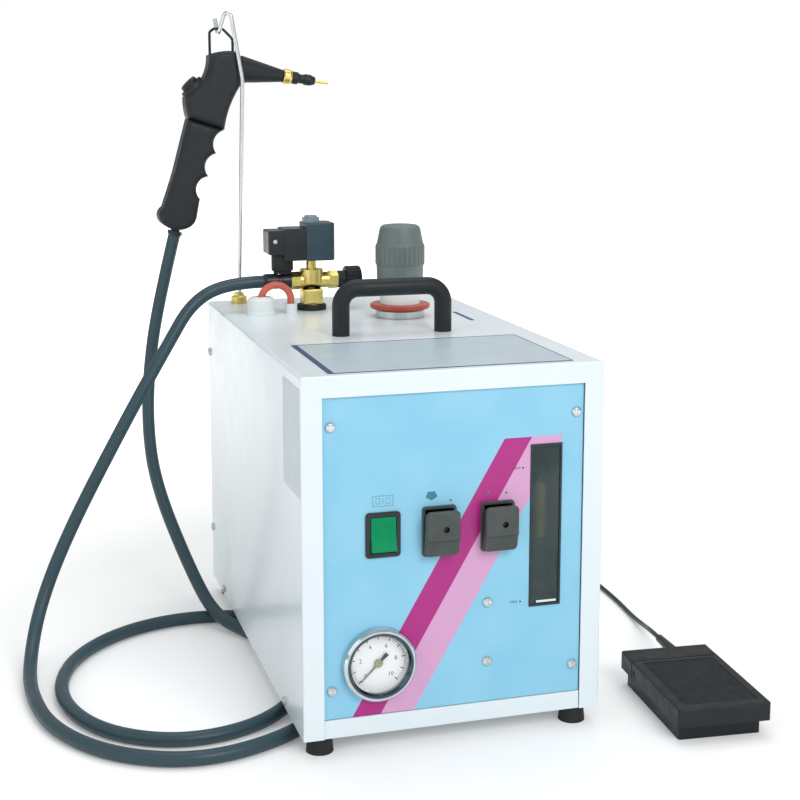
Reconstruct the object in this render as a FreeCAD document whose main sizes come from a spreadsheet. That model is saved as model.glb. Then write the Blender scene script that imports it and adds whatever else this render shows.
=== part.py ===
import FreeCAD, Part
import math
import os

import Sketcher
from FreeCAD import Placement, Rotation, Vector

# Jewelry steam cleaner: a sheet metal cabinet with a boiler inside, a steam gun
# that hangs on a wire holder, and a foot pedal. Millimetres, Z up, front towards -Y.
# While it is drawn, the middle of the cabinet's footprint is at X = Y = 0.
# set_origin() then moves every piece, so that the origin is the middle of the whole
# set's footprint on the bench.

SIZES = {
    # cabinet
    "cabinet_width": 225.0,
    "cabinet_depth": 385.0,
    "cabinet_height": 262.0,
    "sheet_thickness": 1.2,
    "bend_radius": 2.4,
    "flange_width": 15.2,
    "lip_height": 13.5,
    "panel_recess": 2.0,
    "panel_thickness": 1.5,
    "panel_gap": 0.4,
    "foot_height": 14.0,
    "foot_radius": 10.0,
    "foot_inset": 15.0,
    # screws
    "screw_radius": 2.0,
    "screw_head_radius": 3.6,
    "screw_head_height": 2.2,
    "screw_length": 8.0,
    "panel_screw_inset": 6.0,
    "panel_screw_drop": 21.0,
    # carrying handle
    "handle_span": 85.0,
    "handle_bar_radius": 7.0,
    "handle_rise": 37.4,
    "handle_bend": 14.0,
    "handle_place": -30.0,
    # green main switch
    "rocker_across": -53.8,
    "rocker_up": 160.5,
    "rocker_bezel_width": 25.4,
    "rocker_bezel_height": 32.6,
    "rocker_width": 18.4,
    "rocker_height": 24.4,
    "rocker_tilt": 8.0,
    # grey paddle switches
    "paddle_left_across": -12.4,
    "paddle_right_across": 31.6,
    "paddle_up": 160.0,
    "paddle_width": 20.6,
    "paddle_height": 27.6,
    "paddle_reach": 12.0,
    "paddle_drop": 5.2,
    "paddle_flange_width": 25.4,
    "paddle_flange_height": 36.6,
    "paddle_cap_width": 25.0,
    "paddle_cap_height": 33.2,
    # pressure gauge
    "gauge_across": -57.1,
    "gauge_up": 66.2,
    "gauge_radius": 27.3,
    "gauge_case_radius": 24.0,
    "gauge_case_depth": 26.0,
    "gauge_rim_height": 7.0,
    # level window
    "window_across": 68.8,
    "window_up": 157.0,
    "window_width": 24.0,
    "window_height": 121.0,
    "window_depth": 22.0,
    "sight_radius": 6.0,
    "sight_bore": 4.6,
    "sight_length": 92.0,
    # boiler
    "boiler_radius": 86.0,
    "boiler_wall": 2.0,
    "boiler_across": 0.0,
    "boiler_back": 85.0,
    "boiler_low": 34.0,
    "boiler_straight": 176.0,
    "boiler_dome": 34.0,
    # filler
    "filler_across": 31.8,
    "filler_back": 56.0,
    "neck_radius": 17.0,
    "neck_bore": 13.0,
    "neck_flange_radius": 21.0,
    "cap_radius": 21.2,
    "cap_height": 46.0,
    "cap_lift_height": 33.0,
    "gasket_radius": 25.8,
    "gasket_thickness": 4.0,
    # steam valve
    "valve_across": -32.0,
    "valve_back": 118.0,
    "valve_axis_height": 26.0,
    "valve_body_radius": 7.0,
    "valve_left_reach": 18.8,
    "valve_right_reach": 23.4,
    "nipple_radius": 8.6,
    "coil_left": 7.0,
    "coil_right": 19.0,
    "coil_depth": 29.0,
    "coil_height": 33.0,
    "coil_low": 44.5,
    "stem_radius": 4.6,
    # gun and its holder
    "holder_across": -87.0,
    "holder_back": 173.0,
    "holder_wire_radius": 1.8,
    "gun_back": 191.0,
    "gun_thickness": 28.0,
    "gun_rounding": 6.5,
    "loop_wire_radius": 1.2,
    "gun_button_travel": 3.0,
    # steam hose
    "hose_radius": 5.5,
    "ferrule_radius": 6.8,
    # foot pedal
    "pedal_across": 193.2,
    "pedal_back": -188.1,
    "pedal_turn": -4.5,
    "pedal_width": 72.0,
    "pedal_length": 119.0,
    "pedal_height": 27.0,
    "pedal_skirt": 14.0,
    "pedal_wall": 2.5,
    "pedal_inset": 4.0,
    "pedal_rear_length": 23.0,
    # pedal cable
    "cable_radius": 2.0,
    "cable_exit_height": 18.0,
    "relief_length": 42.0,
    "coil_middle_radius": 24.0,
    "coil_pitch": 5.4,
    "coil_layer": 4.6,
    # where the drawing's zero lies in the finished frame
    "frame_across": 0.0,
    "frame_back": 0.0,
}

document = FreeCAD.newDocument("steam_cleaner")
sheet = document.addObject("Spreadsheet::Sheet", "sizes")
for row, (alias, number) in enumerate(SIZES.items(), start=1):
    sheet.set(f"A{row}", alias)
    sheet.set(f"B{row}", str(number))
    sheet.setAlias(f"B{row}", alias)
document.recompute()

PIECES = []
CORD_PIECES = ("steam_hose", "cable_relief", "cable_run", "cable_coil", "cable_end")


class Size:
    """A number together with the sheet formula that gives it."""

    def __init__(self, number, formula=None):
        self.number = float(number)
        self.formula = formula or repr(float(number))

    def join(self, other, sign, number):
        other = size(other)
        return Size(number(self.number, other.number),
                    f"({self.formula} {sign} {other.formula})")

    def __add__(self, other):
        return self.join(other, "+", lambda a, b: a + b)

    def __radd__(self, other):
        return size(other) + self

    def __sub__(self, other):
        return self.join(other, "-", lambda a, b: a - b)

    def __rsub__(self, other):
        return size(other) - self

    def __mul__(self, other):
        return self.join(other, "*", lambda a, b: a * b)

    def __rmul__(self, other):
        return size(other) * self

    def __truediv__(self, other):
        return self.join(other, "/", lambda a, b: a / b)

    def __neg__(self):
        return size(0) - self


def size(value):
    return value if isinstance(value, Size) else Size(value)


def named(alias):
    return Size(SIZES[alias], f"sizes.{alias}")


# Sizes used all over the cabinet

WIDTH = named("cabinet_width")
DEPTH = named("cabinet_depth")
SHEET = named("sheet_thickness")
GAP = named("panel_gap")
BASE = named("foot_height")
TOP = BASE + named("cabinet_height")
FRONT = -DEPTH / 2
REAR = DEPTH / 2
FLANGE = named("flange_width")
PANEL_FACE = FRONT + named("panel_recess")
PANEL_BACK = PANEL_FACE + named("panel_thickness")
LIP_TOP = BASE + named("lip_height")
PANEL_LOW = LIP_TOP + GAP
PANEL_HIGH = TOP - FLANGE
CLEAR = 0.3


def bind(item, path, value):
    item.setExpression(path, size(value).formula)


def place(item, at, turn=None):
    """Put a piece at a point; its offset into the finished frame is added here."""
    turn = turn or Rotation()
    across, back, up = (size(value) for value in at)
    item.Placement = Placement(Vector(across.number, back.number, up.number), turn)
    bind(item, "Placement.Base.x", across + named("frame_across"))
    bind(item, "Placement.Base.y", back + named("frame_back"))
    bind(item, "Placement.Base.z", up)


def keep(item, label):
    item.Label = label
    PIECES.append(item)
    return item


# Sketch helpers

TOWARDS_Z = Rotation()
TOWARDS_X = Rotation(Vector(0, 1, 0), 90)
TOWARDS_MINUS_X = Rotation(Vector(0, 1, 0), -90)
TOWARDS_Y = Rotation(Vector(1, 0, 0), -90)
TOWARDS_FRONT = Rotation(Vector(1, 0, 0), 90)


def new_body(label, at=(0, 0, 0), turn=None):
    body = document.addObject("PartDesign::Body", label)
    place(body, at, turn)
    return keep(body, label)


def new_sketch(body, plane, offset=0):
    sketch = body.newObject("Sketcher::SketchObject", body.Name + "_sketch")
    base = [item for item in body.Origin.OriginFeatures if item.Role == plane][0]
    sketch.AttachmentSupport = [(base, "")]
    sketch.MapMode = "FlatFace"
    bind(sketch, "AttachmentOffset.Base.z", offset)
    return sketch


def pin_point(sketch, geometry, which, across, up):
    """Tie one point of a sketch to sheet formulas, from the sketch's zero."""
    for kind, value in (("DistanceX", across), ("DistanceY", up)):
        value = size(value)
        index = sketch.addConstraint(
            Sketcher.Constraint(kind, -1, 1, geometry, which, value.number))
        bind(sketch, f"Constraints[{index}]", value)


def polygon(sketch, corners):
    first = sketch.GeometryCount
    points = [Vector(size(a).number, size(b).number, 0) for a, b in corners]
    count = len(points)
    for index in range(count):
        sketch.addGeometry(Part.LineSegment(points[index], points[(index + 1) % count]))
    for index in range(count):
        here = first + index
        after = first + (index + 1) % count
        sketch.addConstraint(Sketcher.Constraint("Coincident", here, 2, after, 1))
    for index, (across, up) in enumerate(corners):
        pin_point(sketch, first + index, 1, across, up)


def rectangle(sketch, left, right, low, high):
    polygon(sketch, [(left, low), (right, low), (right, high), (left, high)])


def circle(sketch, across, up, radius):
    radius = size(radius)
    middle = Vector(size(across).number, size(up).number, 0)
    index = sketch.addGeometry(Part.Circle(middle, Vector(0, 0, 1), radius.number))
    pin_point(sketch, index, 3, across, up)
    rule = sketch.addConstraint(Sketcher.Constraint("Radius", index, radius.number))
    bind(sketch, f"Constraints[{rule}]", radius)


# Feature helpers

def pad(body, sketch, length, towards=True):
    feature = body.newObject("PartDesign::Pad", body.Name + "_pad")
    feature.Profile = sketch
    bind(feature, "Length", length)
    feature.Reversed = not towards
    return feature


def pocket(body, sketch, length, towards=True):
    feature = body.newObject("PartDesign::Pocket", body.Name + "_pocket")
    feature.Profile = sketch
    bind(feature, "Length", length)
    feature.Reversed = not towards
    return feature


def revolve(body, sketch):
    feature = body.newObject("PartDesign::Revolution", body.Name + "_turned")
    feature.Profile = sketch
    feature.ReferenceAxis = (sketch, ["V_Axis"])
    feature.Angle = 360
    return feature


def soften(body, radius, test, kind="Fillet"):
    """Round or chamfer the edges of the newest feature whose middle passes the test."""
    document.recompute()
    tip = body.Tip
    chosen = [f"Edge{number}" for number, edge in enumerate(tip.Shape.Edges, start=1)
              if test(edge)]
    feature = body.newObject("PartDesign::" + kind, body.Name + "_" + kind.lower())
    feature.Base = (tip, chosen)
    bind(feature, "Radius" if kind == "Fillet" else "Size", radius)
    return feature


def middle(edge):
    return edge.valueAt((edge.FirstParameter + edge.LastParameter) / 2)


def runs_along(edge, axis):
    if edge.Curve.TypeId != "Part::GeomLine":
        return False
    first, last = (vertex.Point for vertex in edge.Vertexes[:2])
    step = last - first
    return abs(abs(step[axis]) - step.Length) < 1e-6


def near(number, value):
    return abs(number - size(value).number) < 0.02


def turned(label, at, profile, turn=None):
    """A turned piece: its (radius, height) outline is spun about its own axis."""
    body = new_body(label, at, turn)
    sketch = new_sketch(body, "XZ_Plane")
    polygon(sketch, profile)
    revolve(body, sketch)
    return body


def block(label, at, across, back, up, turn=None):
    """A box between the given (low, high) limits, in the body's own directions."""
    body = new_body(label, at, turn)
    sketch = new_sketch(body, "XY_Plane", up[0])
    rectangle(sketch, across[0], across[1], back[0], back[1])
    pad(body, sketch, size(up[1]) - up[0])
    return body


def box_hole(body, across, back, up):
    sketch = new_sketch(body, "XY_Plane", up[0])
    rectangle(sketch, across[0], across[1], back[0], back[1])
    return pocket(body, sketch, size(up[1]) - up[0], towards=False)


def add_box(body, across, back, up):
    sketch = new_sketch(body, "XY_Plane", up[0])
    rectangle(sketch, across[0], across[1], back[0], back[1])
    return pad(body, sketch, size(up[1]) - up[0])


def upright_hole(body, low, high, spots):
    """Round holes along Z: spots are (across, back, radius)."""
    sketch = new_sketch(body, "XY_Plane", low)
    for across, back, radius in spots:
        circle(sketch, across, back, radius)
    return pocket(body, sketch, size(high) - low, towards=False)


def level_hole(body, front, back, rounds=(), squares=()):
    """Holes along Y: rounds are (across, up, radius), squares (left, right, low, high)."""
    sketch = new_sketch(body, "XZ_Plane", -size(back))
    for across, up, radius in rounds:
        circle(sketch, across, up, radius)
    for left, right, low, high in squares:
        rectangle(sketch, left, right, low, high)
    return pocket(body, sketch, size(back) - front, towards=False)


def solid(label, shape):
    """A piece whose shape is worked out directly from the sheet's numbers."""
    item = document.addObject("Part::Feature", label)
    item.Shape = shape
    placed = shape.Placement
    place(item, tuple(placed.Base), placed.Rotation)
    return keep(item, label)


def number(alias):
    return SIZES[alias]


# Paths

def point(values):
    return Vector(*values)


def rounded_path(points, radii=None):
    """Straight runs joined by tangent arcs; each arc is as large as its runs allow."""
    points = [point(p) for p in points]
    edges = []
    start = points[0]
    found = []
    for index in range(1, len(points) - 1):
        before, corner, after = points[index - 1:index + 2]
        back = (before - corner).normalize()
        ahead = (after - corner).normalize()
        half_turn = (math.pi - back.getAngle(ahead)) / 2
        if radii is None:
            shorter = min((before - corner).Length, (after - corner).Length)
            radius = 0.45 * shorter / math.tan(half_turn)
        else:
            radius = radii[index - 1]
        reach = radius * math.tan(half_turn)
        enter = corner + back * reach
        leave = corner + ahead * reach
        bisector = (back + ahead).normalize()
        centre = corner + bisector * (radius / math.cos(half_turn))
        crown = centre - bisector * radius
        edges.append(Part.LineSegment(start, enter).toShape())
        edges.append(Part.Arc(enter, crown, leave).toShape())
        start = leave
        found.append(radius)
    edges.append(Part.LineSegment(start, points[-1]).toShape())
    return Part.Wire(edges), found


def tube_along(wire, radius):
    first = wire.Edges[0]
    start = first.valueAt(first.FirstParameter)
    ahead = first.tangentAt(first.FirstParameter)
    ring = Part.Wire([Part.Circle(start, ahead, radius).toShape()])
    shell = Part.BRepOffsetAPI.MakePipeShell(wire)
    shell.add(ring)
    shell.build()
    shell.makeSolid()
    return shell.shape()


def report_tube(label, wire, radius, shape, radii):
    expected = math.pi * radius ** 2 * wire.Length
    print(f"{label}: length {wire.Length:.0f} mm, volume ratio {shape.Volume / expected:.4f},"
          f" arcs", [round(r) for r in radii])


# Cabinet sheet metal

def base_tray():
    body = new_body("base_tray")
    side = WIDTH / 2 - SHEET - GAP
    lip_side = WIDTH / 2 - FLANGE - GAP
    lip_face = FRONT + SHEET
    front = FRONT + SHEET * 2 + GAP
    rear = REAR - SHEET - 1 - GAP
    rim = BASE + 18
    floor = new_sketch(body, "XY_Plane", BASE)
    rectangle(floor, -side, side, front, rear)
    pad(body, floor, SHEET)
    for edge, inner in ((-side, -side + SHEET), (side - SHEET, side)):
        wall = new_sketch(body, "XY_Plane", BASE)
        rectangle(wall, edge, inner, front, rear)
        pad(body, wall, rim - BASE)
    tongue = new_sketch(body, "XY_Plane", BASE)
    rectangle(tongue, -lip_side, lip_side, lip_face, front + 1)
    pad(body, tongue, SHEET)
    lip = new_sketch(body, "XY_Plane", BASE)
    rectangle(lip, -lip_side, lip_side, lip_face, lip_face + SHEET)
    pad(body, lip, LIP_TOP - BASE)
    foot_x, foot_y = foot_place()
    upright_hole(body, BASE - 1, BASE + SHEET + 1,
                 [(a * foot_x, b * foot_y, named("screw_radius") + 0.3)
                  for a in (-1, 1) for b in (-1, 1)])
    screw_side = named("screw_radius") + 0.2
    for side_of in (-1, 1):
        sketch = new_sketch(body, "YZ_Plane", side_of * (WIDTH / 2))
        for back in tray_screw_backs():
            circle(sketch, back, tray_screw_up(), screw_side)
        pocket(body, sketch, 5, towards=side_of > 0)
    return body


def foot_place():
    return (WIDTH / 2 - named("foot_inset"), DEPTH / 2 - named("foot_inset"))


def tray_screw_up():
    return BASE + 6


def tray_screw_backs():
    return (FRONT + 61, REAR - 61)


def rear_screw_ups():
    return (BASE + 49, TOP - 46)


def cabinet_cover():
    body = new_body("cabinet_cover")
    shell = new_sketch(body, "XZ_Plane", -REAR)
    half = WIDTH / 2
    inner = half - SHEET
    polygon(shell, [(-half, BASE), (-half, TOP), (half, TOP), (half, BASE),
                    (inner, BASE), (inner, TOP - SHEET), (-inner, TOP - SHEET),
                    (-inner, BASE)])
    pad(body, shell, DEPTH)
    frame = new_sketch(body, "XZ_Plane", -(FRONT + SHEET))
    window = half - FLANGE
    polygon(frame, [(-half, BASE), (-half, TOP), (half, TOP), (half, BASE),
                    (window, BASE), (window, PANEL_HIGH), (-window, PANEL_HIGH),
                    (-window, BASE)])
    pad(body, frame, SHEET)
    soften(body, named("bend_radius"), lambda edge: (
        runs_along(edge, 1) and near(middle(edge).z, TOP) and abs(middle(edge).x) > 100))
    soften(body, named("bend_radius") * 0.5, lambda edge: (
        near(middle(edge).y, FRONT) and abs(middle(edge).x) > size(half).number - 3
        and edge.Length > 50))
    spots = [(named("filler_across"), named("filler_back"), named("neck_radius") + 0.5),
             (named("valve_across"), named("valve_back"), named("nipple_radius") + 0.5),
             (named("holder_across"), named("holder_back"), 4.4)]
    spots += [(side * (named("handle_span") / 2), named("handle_place"), 2.6)
              for side in (-1, 1)]
    spots += [(across, BOOT_BACK, named_sleeve_radius() + 0.3) for across in sleeve_feet()]
    upright_hole(body, TOP - SHEET - 1, TOP + 1, spots)
    clear = named("screw_radius") + 0.2
    for side_of in (-1, 1):
        sketch = new_sketch(body, "YZ_Plane", side_of * (WIDTH / 2 + 1))
        for back in tray_screw_backs():
            circle(sketch, back, tray_screw_up(), clear)
        for up in rear_screw_ups():
            circle(sketch, REAR - 7, up, clear)
        pocket(body, sketch, 5, towards=side_of > 0)
    return body


def panel_screw_spots():
    across = WIDTH / 2 - FLANGE - named("panel_screw_inset")
    low = PANEL_LOW + named("panel_screw_drop")
    high = PANEL_HIGH - named("panel_screw_drop")
    spots = [(-across, low), (across, low), (-across, high), (across, high)]
    spots += [(size(24.5), size(103.2)), (size(24.5), size(58.7))]
    return spots


def front_panel():
    side = WIDTH / 2 - FLANGE - GAP
    body = block("front_panel", (0, 0, 0), (-side, side), (PANEL_FACE, PANEL_BACK),
                 (PANEL_LOW, PANEL_HIGH - GAP))
    rounds = [(across, up, named("screw_radius") + 0.2) for across, up in panel_screw_spots()]
    rounds.append((named("gauge_across"), named("gauge_up"), named("gauge_case_radius") + CLEAR))
    squares = [cut_limits("rocker_across", "rocker_up", rocker_body_size(), CLEAR),
               cut_limits("paddle_left_across", "paddle_up", paddle_body_size(), CLEAR),
               cut_limits("paddle_right_across", "paddle_up", paddle_body_size(), CLEAR),
               cut_limits("window_across", "window_up",
                          (named("window_width"), named("window_height")), CLEAR)]
    level_hole(body, PANEL_FACE - 1, PANEL_BACK + 1, rounds, squares)
    return body


def cut_limits(across, up, span, margin):
    wide, tall = span
    return (named(across) - wide / 2 - margin, named(across) + wide / 2 + margin,
            named(up) - tall / 2 - margin, named(up) + tall / 2 + margin)


def rear_panel():
    side = WIDTH / 2 - SHEET - GAP
    face = REAR - SHEET - 1
    body = block("rear_panel", (0, 0, 0), (-side, side), (face, face + SHEET),
                 (BASE + SHEET + GAP, TOP - SHEET - GAP))
    inner = side - SHEET * 2 - GAP
    for left, right in ((-inner, -inner + SHEET), (inner - SHEET, inner)):
        add_box(body, (left, right), (face - 14, face + 0.5), (BASE + 30, TOP - 20))
    add_box(body, (-inner, inner), (face - 10, face + 0.5), (BASE + 30, BASE + 30 + SHEET))
    slots = [(-36 + 8 * step, -32 + 8 * step, TOP - 62, TOP - 30) for step in range(10)]
    inlet_across, inlet_up = INLET
    squares = slots + [(inlet_across - 14.2, inlet_across + 14.2, inlet_up - 10.2,
                        inlet_up + 10.2)]
    level_hole(body, face - 1, face + SHEET + 1,
               [(GLAND[0], GLAND[1], size(6.3))], squares)
    clear = named("screw_radius") + 0.2
    for side_of in (-1, 1):
        sketch = new_sketch(body, "YZ_Plane", side_of * (inner + 1))
        for up in rear_screw_ups():
            circle(sketch, REAR - 7, up, clear)
        pocket(body, sketch, 5, towards=side_of > 0)
    return body


INLET = (-60.0, 70.0)
GLAND = (62.0, 52.0)
REAR_FACE = REAR - 1


def rubber_feet():
    foot_x, foot_y = foot_place()
    body = new_body("rubber_feet")
    for across in (-1, 1):
        for back in (-1, 1):
            sketch = new_sketch(body, "XY_Plane", 0)
            circle(sketch, across * foot_x, back * foot_y, named("foot_radius"))
            feature = pad(body, sketch, BASE)
            feature.TaperAngle = -5
    body_cavity = new_sketch(body, "XY_Plane", 0)
    for across in (-1, 1):
        for back in (-1, 1):
            circle(body_cavity, across * foot_x, back * foot_y, named("screw_radius") + 1.6)
    pocket(body, body_cavity, 7, towards=False)
    return body


def screw_profile():
    head = named("screw_head_radius")
    shank = named("screw_radius")
    tall = named("screw_head_height")
    return [(0, -named("screw_length")), (shank, -named("screw_length")), (shank, 0),
            (head, 0), (head, tall * 0.45), (head * 0.82, tall * 0.82),
            (head * 0.45, tall), (0, tall)]


def cabinet_screws():
    """Panel, cover and rear screws: one pan head screw, copied to each hole."""
    pattern = screw_solid()
    copies = []
    front = PANEL_FACE.number
    for across, up in panel_screw_spots():
        copies.append(stood(pattern, (across.number, front, up.number), TOWARDS_FRONT))
    half = WIDTH.number / 2
    for side_of, turn in ((-1, TOWARDS_MINUS_X), (1, TOWARDS_X)):
        for back in tray_screw_backs():
            spot = (side_of * half, back.number, tray_screw_up().number)
            copies.append(stood(pattern, spot, turn))
        for up in rear_screw_ups():
            spot = (side_of * half, REAR.number - 7, up.number)
            copies.append(stood(pattern, spot, turn))
    return solid("cabinet_screws", Part.makeCompound(copies))


def screw_solid():
    outline = [Vector(size(a).number, 0, size(b).number) for a, b in screw_profile()]
    face = Part.Face(Part.makePolygon(outline + outline[:1]))
    body = face.revolve(Vector(0, 0, 0), Vector(0, 0, 1), 360)
    slot = Part.makeBox(6, 0.9, 1.2, Vector(-3, -0.45, number("screw_head_height") - 0.7))
    return body.cut(slot).cut(slot.rotated(Vector(0, 0, 0), Vector(0, 0, 1), 90))


def stood(shape, spot, turn):
    copy = shape.copy()
    copy.Placement = Placement(Vector(*spot), turn)
    return copy


def carry_handle():
    """A round bar bent down at both ends, with a flat foot and a blind screw hole."""
    radius = number("handle_bar_radius")
    half = number("handle_span") / 2
    back = number("handle_place")
    top = TOP.number
    bar = top + number("handle_rise")
    wire, _ = rounded_path([(-half, back, top), (-half, back, bar), (half, back, bar),
                            (half, back, top)], [number("handle_bend")] * 2)
    shape = tube_along(wire, radius)
    for side in (-1, 1):
        shape = shape.cut(Part.makeCylinder(2.1, 14, Vector(side * half, back, top - 1)))
    return solid("carry_handle", shape)


# Switches

def rocker_body_size():
    return (named("rocker_bezel_width") - 3.4, named("rocker_bezel_height") - 3.2)


def paddle_body_size():
    return (named("paddle_flange_width") - 2.2, named("paddle_flange_height") - 2.4)


def switch_frame(label, across, up, flange, neck, mouth, flange_reach, depth, pin):
    """A switch housing: a flange on the panel, a body behind it and an open mouth."""
    body = new_body(label, (named(across), PANEL_FACE, named(up)))
    collar = new_sketch(body, "XZ_Plane", 0)
    rectangle(collar, -flange[0] / 2, flange[0] / 2, -flange[1] / 2, flange[1] / 2)
    pad(body, collar, flange_reach)
    soften(body, 2.6, lambda edge: runs_along(edge, 1))
    soften(body, 0.6, lambda edge: near(middle(edge).y, -size(flange_reach)), "Chamfer")
    core = new_sketch(body, "XZ_Plane", -size(depth))
    rectangle(core, -neck[0] / 2, neck[0] / 2, -neck[1] / 2, neck[1] / 2)
    pad(body, core, depth)
    level_hole(body, -size(flange_reach) - 1, size(depth) - 4, (), [
        (-mouth[0] / 2, mouth[0] / 2, -mouth[1] / 2, mouth[1] / 2)])
    bore = new_sketch(body, "YZ_Plane", neck[0] / 2 - 0.4)
    circle(bore, pin, 0, 1.55)
    pocket(body, bore, neck[0] - 0.8, towards=True)
    return body


def rocker_frame():
    neck = rocker_body_size()
    flange = (named("rocker_bezel_width"), named("rocker_bezel_height"))
    mouth = (named("rocker_width") + 0.8, named("rocker_height") + 1.8)
    return switch_frame("rocker_frame", "rocker_across", "rocker_up", flange, neck, mouth,
                        2.2, 18, 2.0)


def rocker_button():
    """The green rocker, pressed in at its lower end; it turns on two short pins."""
    tilt = -SIZES["rocker_tilt"]
    body = new_body("rocker_button", (named("rocker_across"), PANEL_FACE + 2,
                                      named("rocker_up")), Rotation(Vector(1, 0, 0), tilt))
    half = named("rocker_height") / 2
    side = named("rocker_width") / 2
    profile = new_sketch(body, "YZ_Plane", -side)
    polygon(profile, [(-6.6, half), (-5.5, half * 0.4), (-5.2, 0), (-5.5, -half * 0.4),
                      (-6.6, -half), (0.6, -half + 0.3), (3.6, -4), (3.6, 4),
                      (0.6, half - 0.3)])
    pad(body, profile, named("rocker_width"))
    soften(body, 0.8, lambda edge: (abs(middle(edge).x) > side.number - 0.1
                                    and middle(edge).y < -5))
    pins = new_sketch(body, "YZ_Plane", -side - 1.2)
    circle(pins, 0, 0, 1.5)
    pad(body, pins, named("rocker_width") + 2.4)
    return body


def paddle_frame(label, across):
    neck = paddle_body_size()
    flange = (named("paddle_flange_width"), named("paddle_flange_height"))
    mouth = (named("paddle_width") + 0.8, named("paddle_height") + 4.8)
    return switch_frame(label, across, "paddle_up", flange, neck, mouth, 2.0, 22, 1.0)


def paddle(label, across):
    """A block that stands proud of its housing; its lower end is pressed in."""
    body = new_body(label, (named(across), PANEL_FACE + 1, named("paddle_up")))
    half = named("paddle_cap_height") / 2
    side = named("paddle_cap_width") / 2
    reach = named("paddle_reach") + 1
    low_reach = reach - named("paddle_drop") + 1.8
    profile = new_sketch(body, "YZ_Plane", -side)
    polygon(profile, [(-reach, half), (-reach, -4.5), (-reach + 1.4, -5.4),
                      (-low_reach, -half), (-low_reach + 5, -half), (-reach + 3.4, half)])
    pad(body, profile, named("paddle_cap_width"))
    soften(body, 3.4, lambda edge: (runs_along(edge, 1)
                                    and abs(middle(edge).x) > side.number - 0.1))
    soften(body, 1.2, lambda edge: (middle(edge).y < -low_reach.number + 0.2
                                    and abs(middle(edge).z + 5) > 0.6))
    neck_side = named("paddle_width") / 2
    neck = new_sketch(body, "YZ_Plane", -neck_side)
    polygon(neck, [(-10.5, 12), (-5.5, -12), (1, -12), (5, -6), (5, 6), (1, 12)])
    pad(body, neck, named("paddle_width"))
    pins = new_sketch(body, "YZ_Plane", -neck_side - 0.6)
    circle(pins, 0, 0, 1.5)
    pad(body, pins, named("paddle_width") + 1.2)
    level_hole(body, -reach - 1, -reach + 2.5, [(2, 3.5, 2.2)])
    return body


# Pressure gauge

def gauge_at():
    return (named("gauge_across"), PANEL_FACE, named("gauge_up"))


def gauge_case():
    """A cup behind the panel, with its pipe stub. Heights run towards the front."""
    outer = named("gauge_case_radius")
    deep = named("gauge_case_depth")
    return turned("gauge_case", gauge_at(), [
        (5, -deep - 12), (5, -deep), (outer, -deep), (outer, 1.4), (outer - 1.2, 1.4),
        (outer - 1.2, -deep + 1.2), (3, -deep + 1.2), (3, -deep - 12)], TOWARDS_FRONT)


def gauge_dial():
    outer = named("gauge_case_radius") - 1.4
    return turned("gauge_dial", gauge_at(), [
        (0.9, -1.6), (outer, -1.6), (outer, -0.8), (0.9, -0.8)], TOWARDS_FRONT)


def gauge_needle():
    """A thin pointer on a short spindle; it points to the lower left at rest."""
    body = new_body("gauge_needle", gauge_at(), TOWARDS_FRONT * Rotation(Vector(0, 0, 1), 225))
    sketch = new_sketch(body, "XY_Plane", 0.4)
    polygon(sketch, [(-9, -1.5), (-9, 1.5), (-3, 0.9), (18.5, 0.25), (18.5, -0.25), (-3, -0.9)])
    pad(body, sketch, 0.6)
    hub = new_sketch(body, "XY_Plane", 0.2)
    circle(hub, 0, 0, 3)
    pad(body, hub, 1.4)
    spindle = new_sketch(body, "XY_Plane", -4)
    circle(spindle, 0, 0, 0.85)
    pad(body, spindle, 5)
    return body


def gauge_glass():
    outer = named("gauge_case_radius") - 0.2
    return turned("gauge_glass", gauge_at(), [
        (0, 2.2), (outer, 2.2), (outer, 3.4), (0, 3.4)], TOWARDS_FRONT)


def gauge_bezel():
    """The chromed ring that stands on the panel and holds the glass."""
    outer = named("gauge_radius")
    case = named("gauge_case_radius")
    rim = named("gauge_rim_height")
    return turned("gauge_bezel", gauge_at(), [
        (case + 0.1, 0), (outer, 0), (outer, 1.6), (outer - 0.7, rim - 1.2),
        (outer - 1.9, rim), (case - 1.4, rim), (case - 2.6, rim - 1.6),
        (case - 2.6, 3.5), (case + 0.1, 3.5)], TOWARDS_FRONT)


# Level window

def window_frame():
    """A dark tray set in the panel, open to the front, with the sight glass inside."""
    wide = named("window_width")
    tall = named("window_height")
    deep = named("window_depth")
    wall = 1.4
    body = new_body("window_frame", (named("window_across"), PANEL_FACE, named("window_up")))
    sketch = new_sketch(body, "XZ_Plane", -deep)
    rectangle(sketch, -wide / 2, wide / 2, -tall / 2, tall / 2)
    pad(body, sketch, deep + 0.8)
    level_hole(body, -2, deep - wall, (), [
        (-wide / 2 + wall, wide / 2 - wall, -tall / 2 + wall, tall / 2 - wall)])
    level_hole(body, deep - wall - 1, deep + 1,
               [(0, side * sight_fitting_up(), 4.4) for side in (-1, 1)])
    return body


def sight_fitting_up():
    return named("sight_length") / 2 + 4


def sight_centre():
    return PANEL_FACE + named("window_depth") / 2


def sight_tube():
    outer = named("sight_radius")
    inner = named("sight_bore")
    half = named("sight_length") / 2
    return turned("sight_tube", (named("window_across"), sight_centre(), named("window_up")),
                  [(inner, -half), (outer, -half), (outer, half), (inner, half)])


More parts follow.
